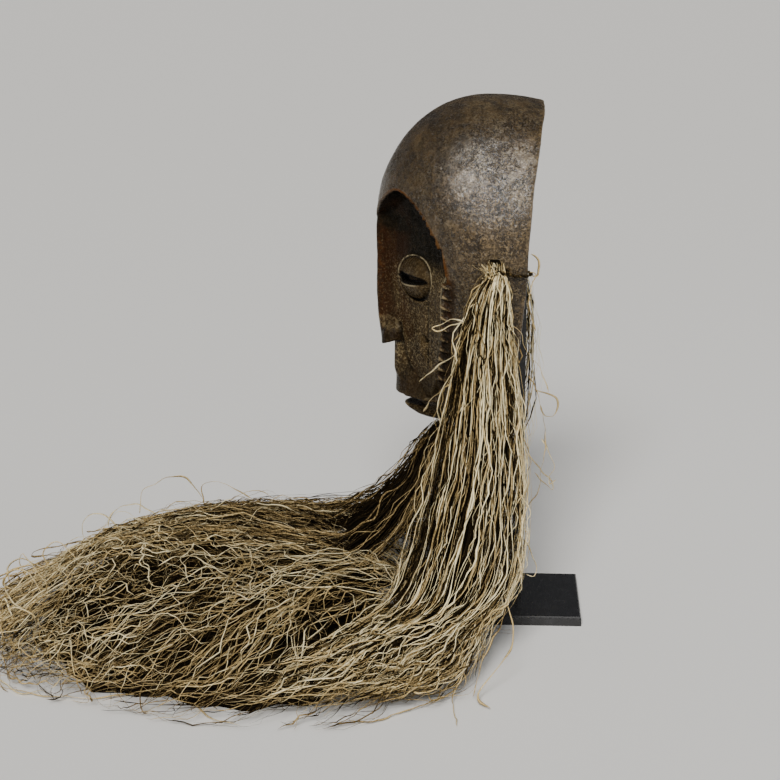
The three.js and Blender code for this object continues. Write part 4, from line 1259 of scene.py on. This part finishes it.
def heap_strands(name, strands, steps, rng):
    """Loose ends that lie on and in the heap, curling as they go."""
    angle = rng.uniform(0, 2 * math.pi, strands)
    to_left_end = rng.uniform(size=strands) < LEFT_END_SHARE
    angle = np.where(to_left_end, rng.normal(*LEFT_END_ANGLE, strands), angle)
    reach = edge_reach(angle) * np.sqrt(rng.uniform(0, 1.1, strands))
    start = HEAP_MIDDLE + np.stack([np.cos(angle), np.sin(angle)], 1) * reach[:, None]
    under_tuft = (start[:, 0] > 105) & (start[:, 1] > -90)
    start[under_tuft] += (-40, -170)
    combed = ramp(start[:, 0], 60, 190) * (0.35 + 0.65 * ramp(start[:, 1], -360, -210))
    combed = np.maximum(combed, 0.8 * ramp(start[:, 1], -230, -150))
    downhill = 1.2 * ramp(start[:, 0], 15, 110) * ramp(start[:, 1], -420, -140)
    length = rng.uniform(45, 100, strands) + 90 * combed
    along = np.linspace(0, 1, steps)[None] * length[:, None]
    size = (rng.uniform(0.5, 1.5, strands) * (1 - 0.7 * combed))[:, None]
    turns = (waves(rng, along, 45, 140, kink=0.8) + waves(rng, along, 14, 40, kink=0.8) * 0.7) * size
    free = rng.uniform(size=strands) > 0.1 + 0.8 * combed
    mean = np.where(free, rng.uniform(0, 2 * math.pi, strands), -math.pi / 2 + downhill * combed)
    heading = mean[:, None] + rng.normal(size=(strands, 1)) * (0.55 - 0.3 * combed)[:, None] + turns
    step = (length / (steps - 1))[:, None]
    x = np.cumsum(np.cos(heading) * step, 1)
    y = np.cumsum(np.sin(heading) * step, 1)
    x, y = x - x.mean(1, keepdims=True) + start[:, :1], y - y.mean(1, keepdims=True) + start[:, 1:]
    shade_dark = rng.uniform(size=(strands, 1)) < SHADE_DARK_SHARE
    x, y = held_in(x, y, rng.uniform(0.9, 1.06, (strands, 1)) - 0.07 * shade_dark)
    layer = np.clip(1.0 - rng.gamma(1.1, 0.11, strands), 0.35, 0.99)[:, None] - 0.06 * shade_dark
    uneven = rng.uniform(0.8, 4.2, (strands, 1)) * (1.15 - 0.65 * combed[:, None]) * np.where(shade_dark, 0.4, 1)
    high = heap_top(x, y) * layer + waves(rng, along, 20, 80) * uneven
    arch = np.where(rng.uniform(size=strands) < 0.08, rng.uniform(4, 15, strands), 0) * (1 - combed)
    high = high + ~shade_dark * arch[:, None] * np.sin(np.linspace(0, math.pi, steps))[None] ** 2
    paths = np.stack([x, y, np.maximum(high, rng.uniform(0.6, 2.0, (strands, 1)))], -1)
    near_edge = 0.7 * ramp(heap_share(x, y), 0.86, 1.0)
    # Strands lower in the heap are darker: painted shade.
    unshaded = np.maximum(ramp(paths[..., 2] / heap_top(x, y), 0.66, 1.0), near_edge)
    width = widths(rng, strands) * HEAP_WIDTH
    return fibres(name, keep_off_plate(paths), width, tones(rng, shade_dark, unshaded, paths), rng)


# A loop's course: how far out and how far round it is, and how high, as shares of its size.
# Below 0 it is that far down in the heap.
LOOP = [(0, 0, -6), (0.55, 0.1, 0.5), (1, 0.4, 1), (0.95, 0.8, 0.95), (0.45, 1.05, 0.4), (0, 1, -6)]


def edge_loops(rng, loops, steps):
    """Loops that stand out of the heap's top and of its left end."""
    angle = rng.uniform(-math.pi * 0.97, -math.pi * 0.28, loops)
    turn = rng.uniform(0.08, 0.28, loops) * rng.choice([-1, 1], loops)
    base, out = rng.uniform(0.55, 0.9, loops), rng.uniform(0.93, 1.06, loops)
    high = 3 + rng.gamma(1.4, 4.5, loops).clip(0, 22)
    points = []
    for share, swing, lift in LOOP:
        at = angle + turn * swing
        reach = edge_reach(at) * (base + (out - base) * share)
        x, y = HEAP_MIDDLE[0] + np.cos(at) * reach, HEAP_MIDDLE[1] + np.sin(at) * reach
        up = np.where(lift < 0, lift, high * lift)
        points.append(np.stack([x, y, np.maximum(heap_top(x, y) + up, 1.5)], 1))
    shares = np.linspace(0, 1, steps)[None] + np.zeros((loops, 1))
    paths = swayed(flow(np.stack(points, 1), 2.5, shares), rng, (0.9, 18, 50))
    paths[..., 2] = np.maximum(paths[..., 2], 1.0)
    return fibres("raffia_loops", paths, widths(rng, loops), rng.uniform(0.3, 0.9, (loops, 1)), rng)


def stray_strands(rng):
    paths = swayed(np.stack([curve_through(line, 44) for line in STRAYS]), rng, (0.45, 12, 40))
    count = len(STRAYS)
    width = rng.uniform(0.8, 1.7, count)
    return fibres("raffia_strays", paths, width, rng.uniform(0.5, 0.9, (count, 1)), rng)


TIE_CORD = [(91, -15, 293), (90, -10, 291.5), (88, -3, 290.5), (86, 2, 290.5), (81, 4.6, 291)]
TIE_CORD += [(76, 2.4, 291.5), (72.5, -6, 292.5), (75, -14, 293), (82, -15, 293), (91, -17, 293)]
NECK_AT = (91, -21, 291)
NECK_HALF = (4.6, 7.6)
CORD_WIDTH = 1.15
CORD_TURN = 0.9


def round_neck(t):
    """A place on the cord that is wound round the tuft's neck, rising a little with each turn."""
    x, y, z = NECK_AT
    rise = 0.75 * t / math.pi + 1.2 * math.sin(3.1 * t)
    return (x + NECK_HALF[0] * math.cos(t), y + NECK_HALF[1] * math.sin(t), z + rise)


def tie(name, side, rng):
    """A twisted cord from a tuft's neck round the rim and back through its hole, wound round the neck."""
    wound = [round_neck(t) for t in np.linspace(0.5 * math.pi, 4.5 * math.pi, 30)]
    paths = []
    for line, strands, radius in ((TIE_CORD, 3, 0.7), (wound, 2, 0.6)):
        middle = curve_through(np.array(line, float), 110)[None]
        run = unit(np.gradient(middle, axis=1))
        across = unit(np.cross(run, (0.2, 0.1, 1.0)))
        over = np.cross(run, across)
        for k in range(strands):
            turn = (gone_along(middle) * CORD_TURN + 2 * math.pi * k / strands)[..., None]
            paths.append(middle + (across * np.cos(turn) + over * np.sin(turn)) * radius)
    paths = np.concatenate(paths) * (side, 1, 1)
    width = np.full(len(paths), CORD_WIDTH)
    return fibres(name, paths, width, rng.uniform(0.0, 0.2, (len(paths), 1)), rng, (0.0, 0.01), 0.7)


STUBS = 60


def stubs(name, side, rng):
    """The short ends of a tuft that stand up over its tie."""
    strands = STUBS
    start = [rng.normal(91.5, 1.6, strands), rng.normal(-21, 3.6, strands), rng.uniform(284, 291, strands)]
    lean = [rng.normal(1.5, 2.0, strands), rng.normal(-3.0, 3.6, strands), rng.uniform(6, 15, strands)]
    t = np.linspace(0, 1, 12)[None, :, None]
    droop = np.array([1.0, -1.5, -2.0]) * t ** 2 * rng.uniform(0, 1.6, (strands, 1, 1))
    paths = np.stack(start, 1)[:, None] + np.stack(lean, 1)[:, None] * t + droop
    paths = swayed(paths, rng, (0.5, 8, 20)) * (side, 1, 1)
    return fibres(name, paths, widths(rng, strands) * 1.1, rng.uniform(0.45, 0.95, (strands, 1)), rng)


def shade_core(name, rings):
    """A near-black form under the raffia's outer strands, put there as painted shade in the gaps, as a
    closed form through rings of points.
    """
    rings = np.asarray(rings, float)
    levels, sides, _ = rings.shape
    points = np.concatenate([rings.reshape(-1, 3), rings[:1].mean(1), rings[-1:].mean(1)])
    around = np.arange(sides)
    after = (around + 1) % sides
    low, high = np.stack([around, after], 1), np.stack([after, around], 1) + sides
    quads = [np.concatenate([low, high], 1) + level * sides for level in range(levels - 1)]
    top = np.stack([after, around, np.full(sides, levels * sides)], 1)
    last = (levels - 1) * sides
    bottom = np.stack([last + around, last + after, np.full(sides, levels * sides + 1)], 1)
    return mesh_object(name, points, np.concatenate(quads), np.concatenate([top, bottom]))


def tuft_shade_core(name, stations, sideways, share):
    stations = curve_through(stations, 24)
    middles = stations[:, :3]
    outs = unit(np.cross(sideways, unit(np.gradient(middles, axis=0))))
    angle = np.linspace(0, 2 * math.pi, 48, endpoint=False)
    ripple = 1 + 0.10 * np.sin(angle * 9)[None] * np.sin(np.linspace(0, 5, 24))[:, None]
    thick = stations[:, 3:4] * share * np.cos(angle)[None] * ripple
    wide = stations[:, 4:5] * share * np.sin(angle)[None] * ripple
    return shade_core(name, middles[:, None] + outs[:, None] * thick[..., None] + sideways * wide[..., None])


def heap_shade_core(share_out, share_high):
    angle = heap_angles[:-1]
    ragged = 1 + 0.025 * np.sin(11 * angle) + 0.02 * np.sin(29 * angle + 1)
    ends = HEAP_MIDDLE[1] + heap_line[:-1, 1]
    ragged = ragged * (1 - 0.24 * ramp(ends, -150, -30)) * (1 - 0.10 * ramp(-ends, 300, 390))
    line = heap_line[:-1] * ragged[:, None]
    rings = []
    for share in np.cos(np.linspace(0, math.pi / 2 * 0.97, 26)):
        flat = HEAP_MIDDLE + line * share * share_out
        x, y = flat.T
        lump = relief(x, y, 0 * x, np.random.default_rng(SEED + 5), 9, (18, 50))
        high = (HEAP_LIP + (HEAP_HIGH - HEAP_LIP) * (1 - share ** 2) ** HEAP_SHOULDER) * share_high
        rings.append(np.stack([x, y, np.maximum(high * (1 + 0.07 * lump) - 2, 0.4)], 1))
    base = rings[0].copy()
    base[:, 2] = 0.2
    return shade_core("raffia_heap_shade_core", [base] + rings)


# The stage.

CAMERA_AZIMUTH = 92.932
CAMERA_HEIGHT = 14.849
CAMERA_AWAY = 1.5206
CAMERA_AIM = Vector((0, -0.1048, 0.1791))
CAMERA_PIXELS = 1900.0
FRAME_PIXELS = 780.0
SENSOR = 36.0


def camera():
    data = bpy.data.cameras.new("camera")
    data.sensor_width = SENSOR
    data.lens = CAMERA_PIXELS / FRAME_PIXELS * SENSOR
    made = bpy.data.objects.new("camera", data)
    bpy.context.scene.collection.objects.link(made)
    a, e = math.radians(CAMERA_AZIMUTH), math.radians(CAMERA_HEIGHT)
    back = Vector((math.sin(a) * math.cos(e), -math.cos(a) * math.cos(e), math.sin(e)))
    made.location = CAMERA_AIM + back * CAMERA_AWAY
    made.rotation_euler = (-back).to_track_quat("-Z", "Y").to_euler()
    bpy.context.scene.camera = made


def lamp(name, kind, place, aim, power, colour, **shape):
    data = bpy.data.lights.new(name, kind)
    data.energy = power
    data.color = colour
    for key, value in shape.items():
        setattr(data, key, value)
    made = bpy.data.objects.new(name, data)
    bpy.context.scene.collection.objects.link(made)
    made.location = place
    made.rotation_euler = (Vector(place) - Vector(aim)).to_track_quat("Z", "Y").to_euler()


def studio():
    world = bpy.data.worlds.new("studio")
    world.use_nodes = True
    world.node_tree.nodes["Background"].inputs["Color"].default_value = shade(0.86, 0.87, 0.9)
    world.node_tree.nodes["Background"].inputs["Strength"].default_value = 0.12
    bpy.context.scene.world = world
    head = (0.0, -0.05, 0.32)
    lamp("key", "SUN", (0.82, -0.13, 0.93), head, 4.0, (1.0, 0.975, 0.93), angle=math.radians(20))
    lamp("top", "SUN", (0.526, -0.06, 1.22), head, 0.35, (1.0, 0.985, 0.96), angle=math.radians(20))
    lamp("fill", "AREA", (0.3, 1.4, 0.7), (0.0, -0.1, 0.15), 4.0, (0.94, 0.97, 1.0), shape="DISK", size=0.9)
    floor = bpy.data.meshes.new("floor")
    reach = 40.0
    corners = [(-reach, -reach, 0), (reach, -reach, 0), (reach, reach, 0), (-reach, reach, 0)]
    floor.from_pydata(corners, [], [(0, 1, 2, 3)])
    made = bpy.data.objects.new("floor", floor)
    bpy.context.scene.collection.objects.link(made)
    f = Finish("floor_pale")
    floor.materials.append(f.set(Base_Color=shade(0.83, 0.825, 0.81), Roughness=0.85))


def dress(piece, finish, slot, *nodes):
    piece.data.materials.clear()
    piece.data.materials.append(finish)
    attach(piece, "root")
    if nodes:
        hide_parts(*nodes)


def repaint(node, finish):
    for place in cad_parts[node].material_slots:
        place.material = finish


camera()
studio()

wood = wood_finish()
fibre = fibre_finish("raffia_fibre")
dark_shade_core = shade_core_finish()
steel = steel_finish()

dress(carve_mask(), wood, "carved_wood", "mask")
for node in ("stand_plate", "stand_bar"):
    repaint(node, steel)

rng = np.random.default_rng(SEED)
for name, node, *rest in TUFTS:
    dress(tuft(name, *rest, rng), fibre, "raffia", node)
for half in ("one", "two"):
    dress(heap_strands("raffia_heap_" + half, 1470, 19, rng), fibre, "raffia", "beard_heap")
dress(edge_loops(rng, 90, 24), fibre, "raffia")
dress(stray_strands(rng), fibre, "raffia")
for side, node in ((1, "tie_left"), (-1, "tie_right")):
    dress(tie(node + "_cord", side, rng), fibre, "tie_cord", node)
    dress(stubs(node + "_ends", side, rng), fibre, "raffia")
# The near-black forms inside the tufts and the heap: painted shade.
for name, stations, sideways, share in TUFT_SHADE_CORES:
    dress(tuft_shade_core(name, stations, sideways, share), dark_shade_core, "raffia")
dress(heap_shade_core(0.85, 0.76), dark_shade_core, "raffia")
